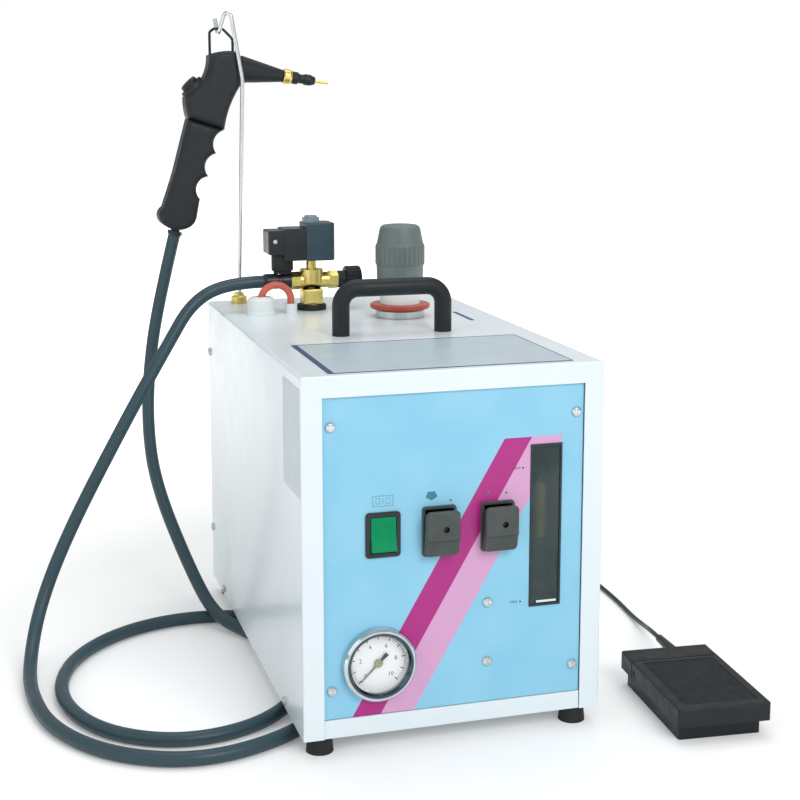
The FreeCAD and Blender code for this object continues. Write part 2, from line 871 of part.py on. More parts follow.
def sight_fittings():
    """Two brass heads that close the glass, each with a pipe back to the boiler."""
    half = named("sight_length") / 2
    grip = named("sight_radius") + 2.6
    bodies = []
    for side in (-1, 1):
        head = Part.makeCylinder(grip.number, 10, Vector(0, 0, half.number - 2))
        seat = Part.makeCylinder(number("sight_radius") + 0.05, 2,
                                 Vector(0, 0, half.number - 2))
        pipe = Part.makeCylinder(4, sight_pipe_length(), Vector(0, 0, half.number + 4),
                                 Vector(0, 1, 0))
        passage = Part.makeCylinder(2.4, sight_pipe_length() + 1, Vector(0, 0, half.number + 4),
                                    Vector(0, 1, 0))
        drop = Part.makeCylinder(2.4, 8, Vector(0, 0, half.number - 3))
        fitting = head.fuse(pipe).cut([seat, passage, drop])
        if side < 0:
            fitting = fitting.mirror(Vector(0, 0, 0), Vector(0, 0, 1))
        fitting.translate(Vector(number("window_across"), sight_centre().number,
                                 number("window_up")))
        bodies.append(fitting)
    return solid("sight_fittings", Part.makeCompound(bodies))


def sight_pipe_length():
    return boss_front().number - sight_centre().number


def boss_front():
    """The front face of the boiler's two side sockets."""
    return named("boiler_back") - named("boiler_radius") + 12


def level_float():
    bore = named("sight_bore")
    return turned("level_float", (named("window_across"), sight_centre(),
                                  named("window_up") + 8.5), [
        (0, -20), (bore - 1.5, -20), (bore - 0.5, -18.6), (bore - 0.5, 19), (bore - 1.6, 20.4),
        (0, 20.4)])


# Boiler

def boiler_outline():
    """Half of the drum's wall: up the outside, over the dome and down the inside."""
    radius = named("boiler_radius")
    wall = named("boiler_wall")
    tall = named("boiler_straight")
    dome = named("boiler_dome")
    outside = [(0, -8), (radius * 0.6, -5.5), (radius * 0.92, 0), (radius, 6), (radius, tall),
               (radius * 0.94, tall + dome * 0.34), (radius * 0.72, tall + dome * 0.7),
               (radius * 0.4, tall + dome * 0.92), (0, tall + dome)]
    inside = [(0, tall + dome - wall), (radius * 0.4, tall + dome * 0.92 - wall),
              (radius * 0.72 - wall * 0.5, tall + dome * 0.7 - wall),
              (radius * 0.94 - wall, tall + dome * 0.34 - wall * 0.5), (radius - wall, tall),
              (radius - wall, 6), (radius * 0.92 - wall * 0.5, wall),
              (radius * 0.6, wall - 5.5), (0, wall - 8)]
    return outside + inside


def boiler_tank():
    """A closed drum with domed ends, on three legs, with sockets welded in."""
    across = named("boiler_across")
    back = named("boiler_back")
    low = named("boiler_low")
    radius = named("boiler_radius")
    body = turned("boiler_tank", (across, back, low), boiler_outline())
    for angle in (30, 150, 270):
        step_x = (radius - 26) * math.cos(math.radians(angle))
        step_y = (radius - 26) * math.sin(math.radians(angle))
        add_box(body, (step_x - 8, step_x + 8), (step_y - 8, step_y + 8),
                (BASE + SHEET - low, 0))
    sight_x = named("window_across") - across
    gauge_x, gauge_y, gauge_up = gauge_socket()
    heater_spot = (0, heater_up() - low)
    sockets = [(sight_x, named("window_up") + side * sight_fitting_up() - low, 8,
                boss_front() - back, 40, 3) for side in (-1, 1)]
    sockets.append((*heater_spot, 19, -radius - 6, 22, 14))
    sockets.append((gauge_x - across, gauge_up - low, 7, gauge_y - back, 30, 2))
    for x, up, outer, front, length, bore in sockets:
        front = size(front)
        boss = new_sketch(body, "XZ_Plane", -(front + length))
        circle(boss, x, up, outer)
        pad(body, boss, length)
        level_hole(body, front - 1, front + length + 1, [(x, up, bore)])
    top = named("boiler_straight")
    upright_hole(body, top, top + named("boiler_dome") + 5, [
        (named("filler_across") - across, named("filler_back") - back,
         named("neck_radius") + 0.1),
        (named("valve_across") - across, named("valve_back") - back,
         named("nipple_radius") - 0.9)])
    return body


def heater_up():
    return named("gauge_up") + 10


def gauge_socket():
    """The middle of the front face of the boiler's gauge socket."""
    return (size(-40), named("boiler_back") - named("boiler_radius") - 13, size(110))


def heater():
    """The immersion heater: a hexagonal plug and a bent element inside the boiler."""
    front = number("boiler_back") - number("boiler_radius") - 6
    up = heater_up().number
    plug = hexagon(Vector(0, front, up), 22, -9)
    plug = plug.fuse(Part.makeCylinder(13.9, 10, Vector(0, front, up), Vector(0, 1, 0)))
    stub = Part.makeCylinder(4, 12, Vector(0, front - 9, up), Vector(0, -1, 0))
    wire, _ = rounded_path([(-7, front + 10, up), (-7, front + 130, up), (7, front + 130, up),
                            (7, front + 10, up)], [6.9, 6.9])
    element = tube_along(wire, 4)
    shape = plug.fuse([stub, element])
    shape.translate(Vector(number("boiler_across"), 0, 0))
    return solid("heater", shape)


def hexagon(spot, radius, length):
    corners = [spot + Vector(radius * math.cos(math.radians(60 * step)), 0,
                             radius * math.sin(math.radians(60 * step)))
               for step in range(7)]
    return Part.Face(Part.makePolygon(corners)).extrude(Vector(0, length, 0))


def gauge_pipe():
    """A copper pipe from the boiler's gauge socket to the back of the gauge."""
    start = (number("gauge_across"), PANEL_FACE.number + number("gauge_case_depth") + 12,
             number("gauge_up"))
    end = tuple(value.number for value in gauge_socket())
    wire, _ = rounded_path([
        start, (start[0], start[1] + 50, start[2]), (start[0], start[1] + 50, end[2]),
        (end[0], start[1] + 90, end[2]), end], [14, 14, 14])
    return solid("gauge_pipe", tube_along(wire, 3))


# Filler

def filler_at(up=0):
    return (named("filler_across"), named("filler_back"), TOP + up)


def filler_neck():
    """The boiler's filling neck, which comes up through the cover."""
    low = named("boiler_low") + named("boiler_straight") + named("boiler_dome") - 8 - TOP
    radius = named("neck_radius")
    bore = named("neck_bore")
    flange = named("neck_flange_radius")
    return turned("filler_neck", filler_at(), [
        (bore, low), (radius, low), (radius, 0.3), (flange, 0.3), (flange, 5.9),
        (flange - 1, cap_seat()), (bore, cap_seat())])


def cap_seat():
    return size(7.1)


def cap_gasket():
    outer = named("gasket_radius")
    thick = named("gasket_thickness")
    seat = cap_seat() + CLEAR
    return turned("cap_gasket", filler_at(seat), [
        (14, 0), (outer - 1, 0), (outer, 1), (outer, thick - 1), (outer - 1, thick),
        (14, thick)])


def cap_collar():
    """The pale threaded plug under the cap: it goes down into the neck."""
    seat = cap_seat() + CLEAR + named("gasket_thickness") + 0.2
    bore = named("neck_bore")
    gap = named("cap_lift_height") - seat
    return turned("cap_collar", filler_at(seat), [
        (0, -16), (bore - 1.2, -16), (bore - 0.3, -14.8), (bore - 0.3, 0), (17.2, 0),
        (17.2, gap), (0, gap)])


def filler_cap():
    """The grey cap: straight below, finely ribbed round its middle, narrower on top."""
    radius = number("cap_radius")
    tall = number("cap_height")
    low = TOP.number + number("cap_lift_height")
    outline = [
        Part.LineSegment(Vector(0, 0, 0), Vector(radius - 1.4, 0, 0)).toShape(),
        Part.LineSegment(Vector(radius - 1.4, 0, 0), Vector(radius - 0.9, 0, 11.5)).toShape(),
        Part.LineSegment(Vector(radius - 0.9, 0, 11.5), Vector(radius, 0, 13)).toShape(),
        Part.LineSegment(Vector(radius, 0, 13), Vector(radius, 0, 28)).toShape(),
        Part.LineSegment(Vector(radius, 0, 28), Vector(radius - 1.3, 0, 30.5)).toShape(),
        Part.LineSegment(Vector(radius - 1.3, 0, 30.5), Vector(radius - 3.6, 0, tall - 4)).toShape(),
        Part.Arc(Vector(radius - 3.6, 0, tall - 4), Vector(radius - 4.8, 0, tall - 1.5),
                 Vector(radius - 8, 0, tall)).toShape(),
        Part.LineSegment(Vector(radius - 8, 0, tall), Vector(0, 0, tall + 0.6)).toShape(),
        Part.LineSegment(Vector(0, 0, tall + 0.6), Vector(0, 0, 0)).toShape()]
    shape = Part.Face(Part.Wire(outline)).revolve(Vector(0, 0, 0), Vector(0, 0, 1), 360)
    flutes = []
    count = 30
    for index in range(count):
        flute = Part.makeCylinder(1.1, 17, Vector(radius + 0.35, 0, 12.5))
        flute.rotate(Vector(0, 0, 0), Vector(0, 0, 1), 360.0 / count * index)
        flutes.append(flute)
    shape = shape.cut(flutes)
    shape.translate(Vector(number("filler_across"), number("filler_back"), low))
    return solid("filler_cap", shape)


# Steam valve

def valve_at(up=0):
    return (named("valve_across"), named("valve_back"), TOP + up)


def valve_nipple():
    """The brass nipple that carries the valve: hexagon above, thread below."""
    low = named("boiler_low") + named("boiler_straight") + named("boiler_dome") - 10 - TOP
    radius = named("nipple_radius")
    body = turned("valve_nipple", valve_at(), [
        (3.2, low), (radius - 1, low), (radius - 1, 0.3), (radius + 4, 0.3), (radius + 4, 3.8),
        (radius, 3.8), (radius, 19 - CLEAR), (3.2, 19 - CLEAR)])
    return body


def valve_body():
    """Forged brass body: a level barrel with two ports and an upright stem."""
    middle_up = TOP + named("valve_axis_height")
    left_end = -number("valve_left_reach")
    right_end = number("valve_right_reach")
    radius = number("valve_body_radius")
    barrel = Part.makeCylinder(radius, right_end - left_end, Vector(left_end, 0, 0),
                               Vector(1, 0, 0))
    hexes = []
    for left, length in ((left_end, 8), (right_end - 8, 8)):
        corners = [Vector(left, 8 * math.cos(math.radians(60 * step + 30)),
                          8 * math.sin(math.radians(60 * step + 30))) for step in range(7)]
        hexes.append(Part.Face(Part.makePolygon(corners)).extrude(Vector(length, 0, 0)))
    bonnet = Part.makeCylinder(10.5, 12, Vector(0, 0, -2))
    stem = Part.makeCylinder(number("stem_radius"), stem_height(), Vector(0, 0, 8))
    shape = barrel.fuse(hexes + [bonnet, stem])
    bore = Part.makeCylinder(3.2, right_end - left_end + 2, Vector(left_end - 1, 0, 0),
                             Vector(1, 0, 0))
    inlet = Part.makeCylinder(3.2, 12, Vector(0, 0, -radius - 4))
    guide = Part.makeCylinder(3.4, stem_height() + 2, Vector(0, 0, 2))
    shape = shape.cut([bore, inlet, guide])
    shape.translate(Vector(number("valve_across"), number("valve_back"), middle_up.number))
    return solid("valve_body", shape)


def stem_height():
    return number("coil_low") + number("coil_height") - number("valve_axis_height") - 8 - 1


def valve_plunger():
    middle_up = TOP + named("valve_axis_height")
    radius = size(3.35)
    return turned("valve_plunger", (named("valve_across"), named("valve_back"), middle_up + 3.6), [
        (0, 0), (2.2, 0), (radius, 1.4), (radius, 26), (radius - 0.6, 26.6), (0, 26.6)])


def valve_coil():
    """The moulded coil: a rounded block with a bore for the stem near its left side."""
    left = -named("coil_left")
    right = named("coil_right")
    half = named("coil_depth") / 2
    low = named("coil_low")
    body = block("valve_coil", valve_at(), (left, right), (-half, half),
                 (low, low + named("coil_height")))
    soften(body, 4.5, lambda edge: runs_along(edge, 2) and middle(edge).x > 10)
    soften(body, 1.2, lambda edge: (near(middle(edge).z, low + named("coil_height"))
                                    or near(middle(edge).z, low)))
    upright_hole(body, low - 1, low + named("coil_height") + 1,
                 [(0, 0, named("stem_radius") + 0.05)])
    return body


def coil_nut():
    top = named("coil_low") + named("coil_height")
    body = new_body("coil_nut", valve_at(top))
    sketch = new_sketch(body, "XY_Plane", 0)
    corners = [(8 * math.cos(math.radians(60 * step + 30)),
                8 * math.sin(math.radians(60 * step + 30))) for step in range(6)]
    polygon(sketch, corners)
    pad(body, sketch, 4.4)
    dome = new_sketch(body, "XY_Plane", 4.4)
    circle(dome, 0, 0, 5.6)
    pad(body, dome, 1.8)
    soften(body, 1.0, lambda edge: near(middle(edge).z, 6.2))
    return body


def coil_plug():
    """The square connector clipped to the coil, with its gland pointing down."""
    low = named("coil_low")
    high = low + named("coil_height")
    inner = -named("coil_left")
    body = block("coil_plug", valve_at(), (inner - 20, inner), (-13.6, 13.6),
                 (low + 0.5, high - 4.5))
    soften(body, 1.4, lambda edge: runs_along(edge, 1))
    add_box(body, (inner - 33.5, inner - 19), (-13, 13), (low + 6, high - 6))
    soften(body, 1.4, lambda edge: near(middle(edge).x, inner - 33.5))
    gland = new_sketch(body, "XY_Plane", low - 9.5)
    circle(gland, inner - 19, 0, 9)
    pad(body, gland, 11)
    soften(body, 1.2, lambda edge: near(middle(edge).z, low - 9.5), "Chamfer")
    return body


def flow_knob():
    """The ribbed regulating knob on the valve's right end, on its own spindle."""
    middle_up = TOP + named("valve_axis_height")
    start = named("valve_across") + named("valve_right_reach")
    spindle = Part.makeCylinder(3.15, 14, Vector(-10, 0, 0), Vector(1, 0, 0))
    collar = Part.makeCylinder(7.6, 6.8, Vector(0.3, 0, 0), Vector(1, 0, 0))
    grip = Part.makeCylinder(11.5, 13.8, Vector(7.1, 0, 0), Vector(1, 0, 0))
    grip = grip.makeFillet(1.4, [edge for edge in grip.Edges if edge.Closed])
    flutes = []
    count = 20
    for index in range(count):
        flute = Part.makeCylinder(1.0, 15.6, Vector(6.2, 11.8, 0), Vector(1, 0, 0))
        flute.rotate(Vector(0, 0, 0), Vector(1, 0, 0), 360.0 / count * index)
        flutes.append(flute)
    shape = grip.cut(flutes).fuse([spindle, collar])
    shape.translate(Vector(start.number, number("valve_back"), middle_up.number))
    return solid("flow_knob", shape)


def hose_socket():
    """The ferrule on the valve's left port that grips the hose."""
    start = named("valve_across") - named("valve_left_reach")
    outer = named("ferrule_radius")
    return turned("hose_socket", (start, named("valve_back"), TOP + named("valve_axis_height")), [
        (3.2, 0), (outer, 0), (outer, 8), (outer - 0.8, 9), (outer - 0.8, 11), (outer, 12),
        (outer, 22), (outer - 0.6, 24), (3.2, 24)], TOWARDS_MINUS_X)


BOOT_ACROSS = -81.0
BOOT_BACK = 100.0
SLEEVE_SPAN = 26.5
BOOT_HEIGHT = 15.5
BUSH_HEIGHT = 8.5


def named_sleeve_radius():
    return size(3.1)


def sleeve_feet():
    return (BOOT_ACROSS, BOOT_ACROSS + SLEEVE_SPAN)


def lead_boot():
    """A pale boot on the cover and a small bush beside it, for the sleeved lead's ends."""
    hole = named_sleeve_radius() + 0.05
    boot = turned("lead_boot", (BOOT_ACROSS, BOOT_BACK, TOP), [
        (hole, 0), (12.5, 0), (12.5, 2), (11.8, 3), (11.8, BOOT_HEIGHT - 3),
        (10.4, BOOT_HEIGHT - 0.8), (8, BOOT_HEIGHT), (hole + 1, BOOT_HEIGHT),
        (hole, BOOT_HEIGHT - 5)])
    bush = new_sketch(boot, "XY_Plane", 0)
    circle(bush, SLEEVE_SPAN, 0, 5.4)
    circle(bush, SLEEVE_SPAN, 0, hole)
    pad(boot, bush, BUSH_HEIGHT)
    return boot


def sleeved_lead():
    """The red silicone sleeve: an arch with both feet down through the cover."""
    low = TOP.number - 12
    crown = TOP.number + 25
    left, right = sleeve_feet()
    wire, _ = rounded_path([(left, BOOT_BACK, low), (left, BOOT_BACK, crown),
                            (right, BOOT_BACK, crown), (right, BOOT_BACK, low)],
                           [(right - left) / 2 - 0.2] * 2)
    return solid("sleeved_lead", tube_along(wire, named_sleeve_radius().number))


# Rear fittings

def mains_inlet():
    """A three pin mains inlet: a flanged socket with a recess and three blades."""
    across, up = INLET
    body = new_body("mains_inlet", (across, REAR_FACE, up), TOWARDS_Y)
    flange = new_sketch(body, "XY_Plane", 0)
    rectangle(flange, -24, 24, -11, 11)
    pad(body, flange, 2.5)
    soften(body, 3, lambda edge: runs_along(edge, 2))
    tray = new_sketch(body, "XY_Plane", -18)
    rectangle(tray, -13.8, 13.8, -9.8, 9.8)
    pad(body, tray, 18)
    hollow = new_sketch(body, "XY_Plane", -14)
    polygon(hollow, [(-12, -5), (-8.4, -8.2), (8.4, -8.2), (12, -5), (12, 8.2), (-12, 8.2)])
    pocket(body, hollow, 17, towards=False)
    for left, low in ((-8, -1), (-1, 2), (6, -1)):
        blade = new_sketch(body, "XY_Plane", -14)
        rectangle(blade, left, left + 2, low - 2, low + 2)
        pad(body, blade, 12)
    return body


def pedal_gland():
    across, up = GLAND
    cable = named("cable_radius")
    return turned("pedal_gland", (across, REAR_FACE, up), [
        (cable + 0.05, -9), (6, -9), (6, 0), (8.5, 0), (8.5, 5), (7.4, 6), (7.4, 10),
        (5, 14), (cable + 0.05, 14)], TOWARDS_Y)


# Holder and steam gun

def holder_rod():
    """A thin steel rod: up, over, down to a low bow that carries the gun, and up again."""
    base = (number("holder_across"), number("holder_back"), TOP.number - 8)
    back = number("gun_back")
    bow = hook_height()
    path = [base, (-80.5, number("holder_back"), 478), (-91.5, 175.6, 546),
            (-98.5, back - 4.2, bow), (-98.5, back + 4.8, bow), (-99.5, back + 10, bow + 12)]
    wire, _ = rounded_path(path, [30, 4.2, 2.6, 2.6])
    return solid("holder_rod", tube_along(wire, number("holder_wire_radius")))


def hook_height():
    """Height of the hook's bow: the gun's loop rests on it."""
    return 519.4


def holder_nut():
    return turned("holder_nut", (named("holder_across"), named("holder_back"), TOP), [
        (named("holder_wire_radius") + 0.45, -6), (4, -6), (4, 0), (7.2, 0), (7.2, 6),
        (4.6, 7.4), (4.6, 9.6), (named("holder_wire_radius") + 0.45, 9.6)])


def gun_outline(parts):
    """A closed face in the gun's middle plane from lines and three point arcs."""
    edges = []
    for part in parts:
        spots = [Vector(a, 0, b) for a, b in part]
        curve = Part.LineSegment(*spots) if len(spots) == 2 else Part.Arc(*spots)
        edges.append(curve.toShape())
    return Part.Face(Part.Wire(edges))


def gun_solid(face, thickness, rounding):
    half = thickness / 2
    shape = face.extrude(Vector(0, thickness, 0))
    shape.translate(Vector(0, number("gun_back") - half, 0))
    rims = [edge for edge in shape.Edges
            if abs(abs(middle(edge).y - number("gun_back")) - half) < 0.01]
    return shape.makeFillet(rounding, rims)


SEAM_LEFT = (-128.6, 443.4)
SEAM_RIGHT = (-96.0, 433.0)
SEAM_GAP = 0.35
BUTTON_MIDDLE = (-122.6, 470.6)


def seam_middle():
    return ((SEAM_LEFT[0] + SEAM_RIGHT[0]) / 2, number("gun_back"),
            (SEAM_LEFT[1] + SEAM_RIGHT[1]) / 2)


def seam_ahead():
    """The direction square to the seam, from the grip into the head."""
    across = SEAM_RIGHT[0] - SEAM_LEFT[0]
    up = SEAM_RIGHT[1] - SEAM_LEFT[1]
    return Vector(-up, 0, across).normalize()


def gun_head():
    face = gun_outline([
        [SEAM_LEFT, (-130.4, 452.0), (-130.8, 462.0)],
        [(-130.8, 462.0), (-113.6, 479.2)],
        [(-113.6, 479.2), (-109.9, 488.0), (-108.6, 499.0)],
        [(-108.6, 499.0), (-98.0, 502.4), (-86.0, 502.8)],
        [(-86.0, 502.8), (-81.6, 499.4), (-80.4, 494.0)],
        [(-80.4, 494.0), (-80.4, 472.5)],
        [(-80.4, 472.5), (-90.6, 453.4), SEAM_RIGHT],
        [SEAM_RIGHT, SEAM_LEFT]])
    shape = gun_solid(face, number("gun_thickness"), 5.5)
    button = Vector(BUTTON_MIDDLE[0], number("gun_back"), BUTTON_MIDDLE[1])
    outward = Vector(-1, 0, 1).normalize()
    collar = Part.makeCone(13.2, 11.2, 8.5, button - outward * 6, outward)
    pocket_for_button = Part.makeCylinder(8.6, 24, button - outward * 10.4, outward)
    spigot_hole = Part.makeCylinder(7.2, 7, Vector(*seam_middle()) - seam_ahead() * 0.5,
                                    seam_ahead())
    start, ahead = nozzle_axis()
    shape = shape.fuse(collar)
    shape = shape.cut(Part.makeCylinder(13, 20, start + ahead * 0.4, ahead))
    shape = shape.cut(spigot_hole)
    for foot in (LOOP_LEFT, LOOP_RIGHT):
        shape = shape.cut(Part.makeCylinder(number("loop_wire_radius") + 0.02, 12,
                                            Vector(foot[0], number("gun_back"), foot[1])))
    return solid("gun_head", shape.cut(pocket_for_button))


def gun_grip():
    """The grip: three finger grooves in front, a straight back and a flared heel."""
    drop = seam_ahead() * SEAM_GAP
    left = (SEAM_LEFT[0] - drop.x, SEAM_LEFT[1] - drop.z)
    right = (SEAM_RIGHT[0] - drop.x, SEAM_RIGHT[1] - drop.z)
    face = gun_outline([
        [left, (-142.0, 394.4)],
        [(-142.0, 394.4), (-152.6, 364.0)],
        [(-152.6, 364.0), (-156.9, 356.0), (-152.4, 348.2)],
        [(-152.4, 348.2), (-141.0, 343.4), (-128.6, 346.0)],
        [(-128.6, 346.0), (-124.4, 350.2), (-122.2, 357.0)],
        [(-122.2, 357.0), (-119.4, 371.0)],
        [(-119.4, 371.0), (-122.4, 381.6), (-111.2, 391.1)],
        [(-111.2, 391.1), (-113.9, 402.4), (-103.8, 411.8)],
        [(-103.8, 411.8), (-105.9, 422.9), right],
        [right, left]])
    shape = gun_solid(face, number("gun_thickness") - 1, 5.0)
    spigot = Part.makeCylinder(7, 9, Vector(*seam_middle()) - seam_ahead() * 4, seam_ahead())
    bore = Part.makeCylinder(4.2, 24, Vector(*tail_start()), Vector(0.25, 0, 0.97))
    return solid("gun_grip", shape.fuse(spigot).cut(bore))


def tail_start():
    return (-141.0, number("gun_back"), 343.0)


def gun_button():
    """The thumb button on the head's sloping back: a hollow cap with a domed face."""
    turn = Rotation(Vector(0, 0, 1), Vector(-1, 0, 1))
    at = (BUTTON_MIDDLE[0], named("gun_back"), BUTTON_MIDDLE[1])
    return turned("gun_button", at, [
        (6.4, -6.5), (8.2, -6.5), (8.2, 5.4), (7.5, 6.6), (4.8, 7.1), (0, 7.2), (0, -2.5),
        (6.4, -2.5)], turn)


NOZZLE_START = (-80.0, 487.0)
NOZZLE_SLOPE = 8.6


def nozzle_axis():
    slope = math.radians(NOZZLE_SLOPE)
    start = Vector(NOZZLE_START[0], number("gun_back"), NOZZLE_START[1])
    return start, Vector(math.cos(slope), 0, -math.sin(slope))


def nozzle_piece(label, profile):
    turn = Rotation(Vector(0, 0, 1), nozzle_axis()[1])
    return turned(label, (NOZZLE_START[0], named("gun_back"), NOZZLE_START[1]), profile, turn)


def gun_nozzle():
    return nozzle_piece("gun_nozzle", [
        (3.2, 0.4), (12.4, 0.4), (12.0, 3), (5.6, 39.5), (5.2, 41), (3.2, 41)])


def nozzle_core():
    """The brass collar and the fine tube that runs on through the tip."""
    return nozzle_piece("nozzle_core", [
        (0.7, 41), (6.4, 41), (6.8, 42), (6.8, 46.4), (6.0, 48.4), (1.5, 48.4), (1.3, 83.4),
        (0.7, 83.4)])


def nozzle_tip():
    return nozzle_piece("nozzle_tip", [
        (1.6, 48.4), (5.2, 48.4), (5.6, 49.4), (5.6, 54), (4.2, 56), (4.2, 60), (5.0, 61),
        (5.0, 66), (3.4, 70.6), (1.6, 70.6)])


LOOP_LEFT = (-106.4, 494.0)
LOOP_RIGHT = (-85.6, 494.0)


def gun_loop():
    back = number("gun_back")
    crown = hook_height() + number("holder_wire_radius") + number("loop_wire_radius") + 0.3
    wire, _ = rounded_path([
        (LOOP_LEFT[0], back, LOOP_LEFT[1]), (LOOP_LEFT[0], back, crown - 3),
        (-102.4, back, crown), (-94.6, back, crown), (LOOP_RIGHT[0], back, crown - 9),
        (LOOP_RIGHT[0], back, LOOP_RIGHT[1])], [3, 4, 4, 6])
    return solid("gun_loop", tube_along(wire, number("loop_wire_radius")))


TAIL_SLOPE = (-0.25, 0.0, -0.968)
TAIL_LENGTH = 5.0


def gun_tail():
    """The ribbed ferrule under the grip that holds the end of the hose."""
    outer = named("ferrule_radius")
    turn = Rotation(Vector(0, 0, 1), Vector(*TAIL_SLOPE))
    start = tail_start()
    return turned("gun_tail", (start[0], named("gun_back"), start[2]), [
        (0, -10), (4, -10), (4, 1.2), (outer - 0.2, 1.2), (outer - 0.2, 3.6),
        (outer - 0.9, TAIL_LENGTH), (0, TAIL_LENGTH)], turn)


def tail_end():
    start = Vector(*tail_start())
    return start + Vector(*TAIL_SLOPE).normalize() * TAIL_LENGTH


# Steam hose: from the gun down to the bench, round under the cabinet, one loop on the
# bench beside it, under the cabinet again and up to the valve

HOSE_LYING = 5.9


def hose_points():
    start = tail_end()
    second = start + Vector(*TAIL_SLOPE) * 58
    low = HOSE_LYING
    port = (number("valve_across") - number("valve_left_reach") - 24,
            number("valve_back"), TOP.number + number("valve_axis_height"))
    middle_points = [
        (-168, 184, 228), (-174, 168, 172), (-170, 153, 118), (-147, 124, 50),
        (-129, 90, 10.5), (-105, 52, low), (-85, 6, low), (-80, -44, low),
        (-94, -94, low), (-134, -138, low), (-190, -150, low), (-238, -124, low),
        (-265, -76, low), (-271, -18, low), (-252, 42, low), (-208, 88, low),
        (-152, 106, low), (-98, 94, low), (-55, 54, low), (-38, -4, low),
        (-44, -64, low), (-72, -118, low), (-120, -164, low), (-184, -184, low),
        (-242, -158, low), (-280, -102, low), (-292, -36, low), (-291, 24, 9),
        (-279, 66, 44), (-252, 76, 104), (-200, 88, 194), (-163, 101, 252),
        (-139, 112.5, 287.5)]
    before_port = (port[0] - 32, port[1], port[2])
    return [tuple(start), tuple(second)] + middle_points + [before_port, port]


def steam_hose():
    radius = number("hose_radius")
    wire, radii = rounded_path(hose_points())
    shape = tube_along(wire, radius)
    report_tube("steam_hose", wire, radius, shape, radii)
    return solid("steam_hose", shape)


# Foot pedal, drawn about its own middle and then turned on the bench

PEDAL_TURN = Rotation(Vector(0, 0, 1), SIZES["pedal_turn"])


def pedal_at(up=0):
    return (named("pedal_across"), named("pedal_back"), up)


def pedal_spot(across, back, up):
    """A point given in the pedal's own directions, in the drawing's frame."""
    turned_step = PEDAL_TURN.multVec(Vector(across, back, 0))
    return (number("pedal_across") + turned_step.x, number("pedal_back") + turned_step.y, up)


PEDAL_HALF = named("pedal_width") / 2
PEDAL_FRONT = -named("pedal_length") / 2
PEDAL_REAR = named("pedal_length") / 2
PEDAL_TOP = named("pedal_height")
SKIRT_LOW = PEDAL_TOP - named("pedal_skirt")
HINGE_BACK = PEDAL_REAR - named("pedal_rear_length") - 6
HINGE_UP = SKIRT_LOW + 6
CABLE_SIDE = 13.0


def pedal_base():
    """The base: a low tray with its walls inset, and a full height rear housing."""
    wall = named("pedal_wall")
    side = PEDAL_HALF - named("pedal_inset")
    front = PEDAL_FRONT + 9
    rear = PEDAL_REAR - 4
    house = PEDAL_REAR - named("pedal_rear_length")
    body = block("pedal_base", pedal_at(), (-side, side), (front, rear), (0, SKIRT_LOW),
                 PEDAL_TURN)
    soften(body, 2, lambda edge: runs_along(edge, 2))
    add_box(body, (-PEDAL_HALF, PEDAL_HALF), (house, PEDAL_REAR), (SKIRT_LOW, PEDAL_TOP))
    soften(body, 1.6, lambda edge: (
        middle(edge).z > SKIRT_LOW.number + 0.1 and middle(edge).y > house.number + 0.1
        and abs(middle(edge).x) > 1 and not near(middle(edge).z, SKIRT_LOW)
        or near(middle(edge).z, PEDAL_TOP) and near(middle(edge).y, PEDAL_REAR)))
    box_hole(body, (-side + wall, side - wall), (front + wall, house - 2), (wall, PEDAL_TOP + 1))
    for left in (-side, side - 5):
        add_box(body, (left, left + 5), (HINGE_BACK - 4, HINGE_BACK + 4),
                (SKIRT_LOW - 4, HINGE_UP + 3.5))
    pins = new_sketch(body, "YZ_Plane", -side - 3.4)
    circle(pins, HINGE_BACK, HINGE_UP, 1.8)
    pad(body, pins, 5)
    other = new_sketch(body, "YZ_Plane", side - 1.6)
    circle(other, HINGE_BACK, HINGE_UP, 1.8)
    pad(body, other, 5)
    add_box(body, (-14, 14), (HINGE_BACK - 34, HINGE_BACK - 22), (wall, wall + 1.5))
    level_hole(body, PEDAL_REAR - 10, PEDAL_REAR + 1,
               [(CABLE_SIDE, named("cable_exit_height"), named("cable_radius") + 0.1)])
    return body


def pedal_treadle():
    """The treadle: a shallow inverted tray with a sunk tread, hinged at its rear."""
    wall = named("pedal_wall")
    house = PEDAL_REAR - named("pedal_rear_length")
    body = block("pedal_treadle", pedal_at(), (-PEDAL_HALF, PEDAL_HALF),
                 (PEDAL_FRONT, house - 1), (SKIRT_LOW, PEDAL_TOP), PEDAL_TURN)
    soften(body, 2.2, lambda edge: runs_along(edge, 2) and middle(edge).y < 0)
    soften(body, 1.4, lambda edge: (near(middle(edge).z, PEDAL_TOP)
                                    and middle(edge).y < house.number - 2))
    box_hole(body, (-PEDAL_HALF + wall, PEDAL_HALF - wall), (PEDAL_FRONT + wall, house + 1),
             (SKIRT_LOW - 1, PEDAL_TOP - wall))
    box_hole(body, (-PEDAL_HALF + 7, PEDAL_HALF - 7), (PEDAL_FRONT + 8, house - 6),
             (PEDAL_TOP - 0.6, PEDAL_TOP + 1))
    bore = new_sketch(body, "YZ_Plane", PEDAL_HALF + 1)
    circle(bore, HINGE_BACK, HINGE_UP, 1.86)
    pocket(body, bore, named("pedal_width") + 2, towards=True)
    return body


def spring_point(turn_angle):
    """The spring's middle line, about its own axis, from its lower end."""
    low = number("pedal_wall") + SPRING_WIRE + 0.3
    high = PEDAL_TOP.number - number("pedal_wall") - 0.6 - SPRING_WIRE - 0.3
    up = low + (high - low) * turn_angle / (2 * math.pi * SPRING_TURNS)
    return Vector(6 * math.cos(turn_angle), 6 * math.sin(turn_angle), up)


SPRING_WIRE = 0.7
SPRING_TURNS = 4


def spring_tangent(angle):
    step = 1e-4
    return (spring_point(angle + step) - spring_point(angle - step)).normalize()


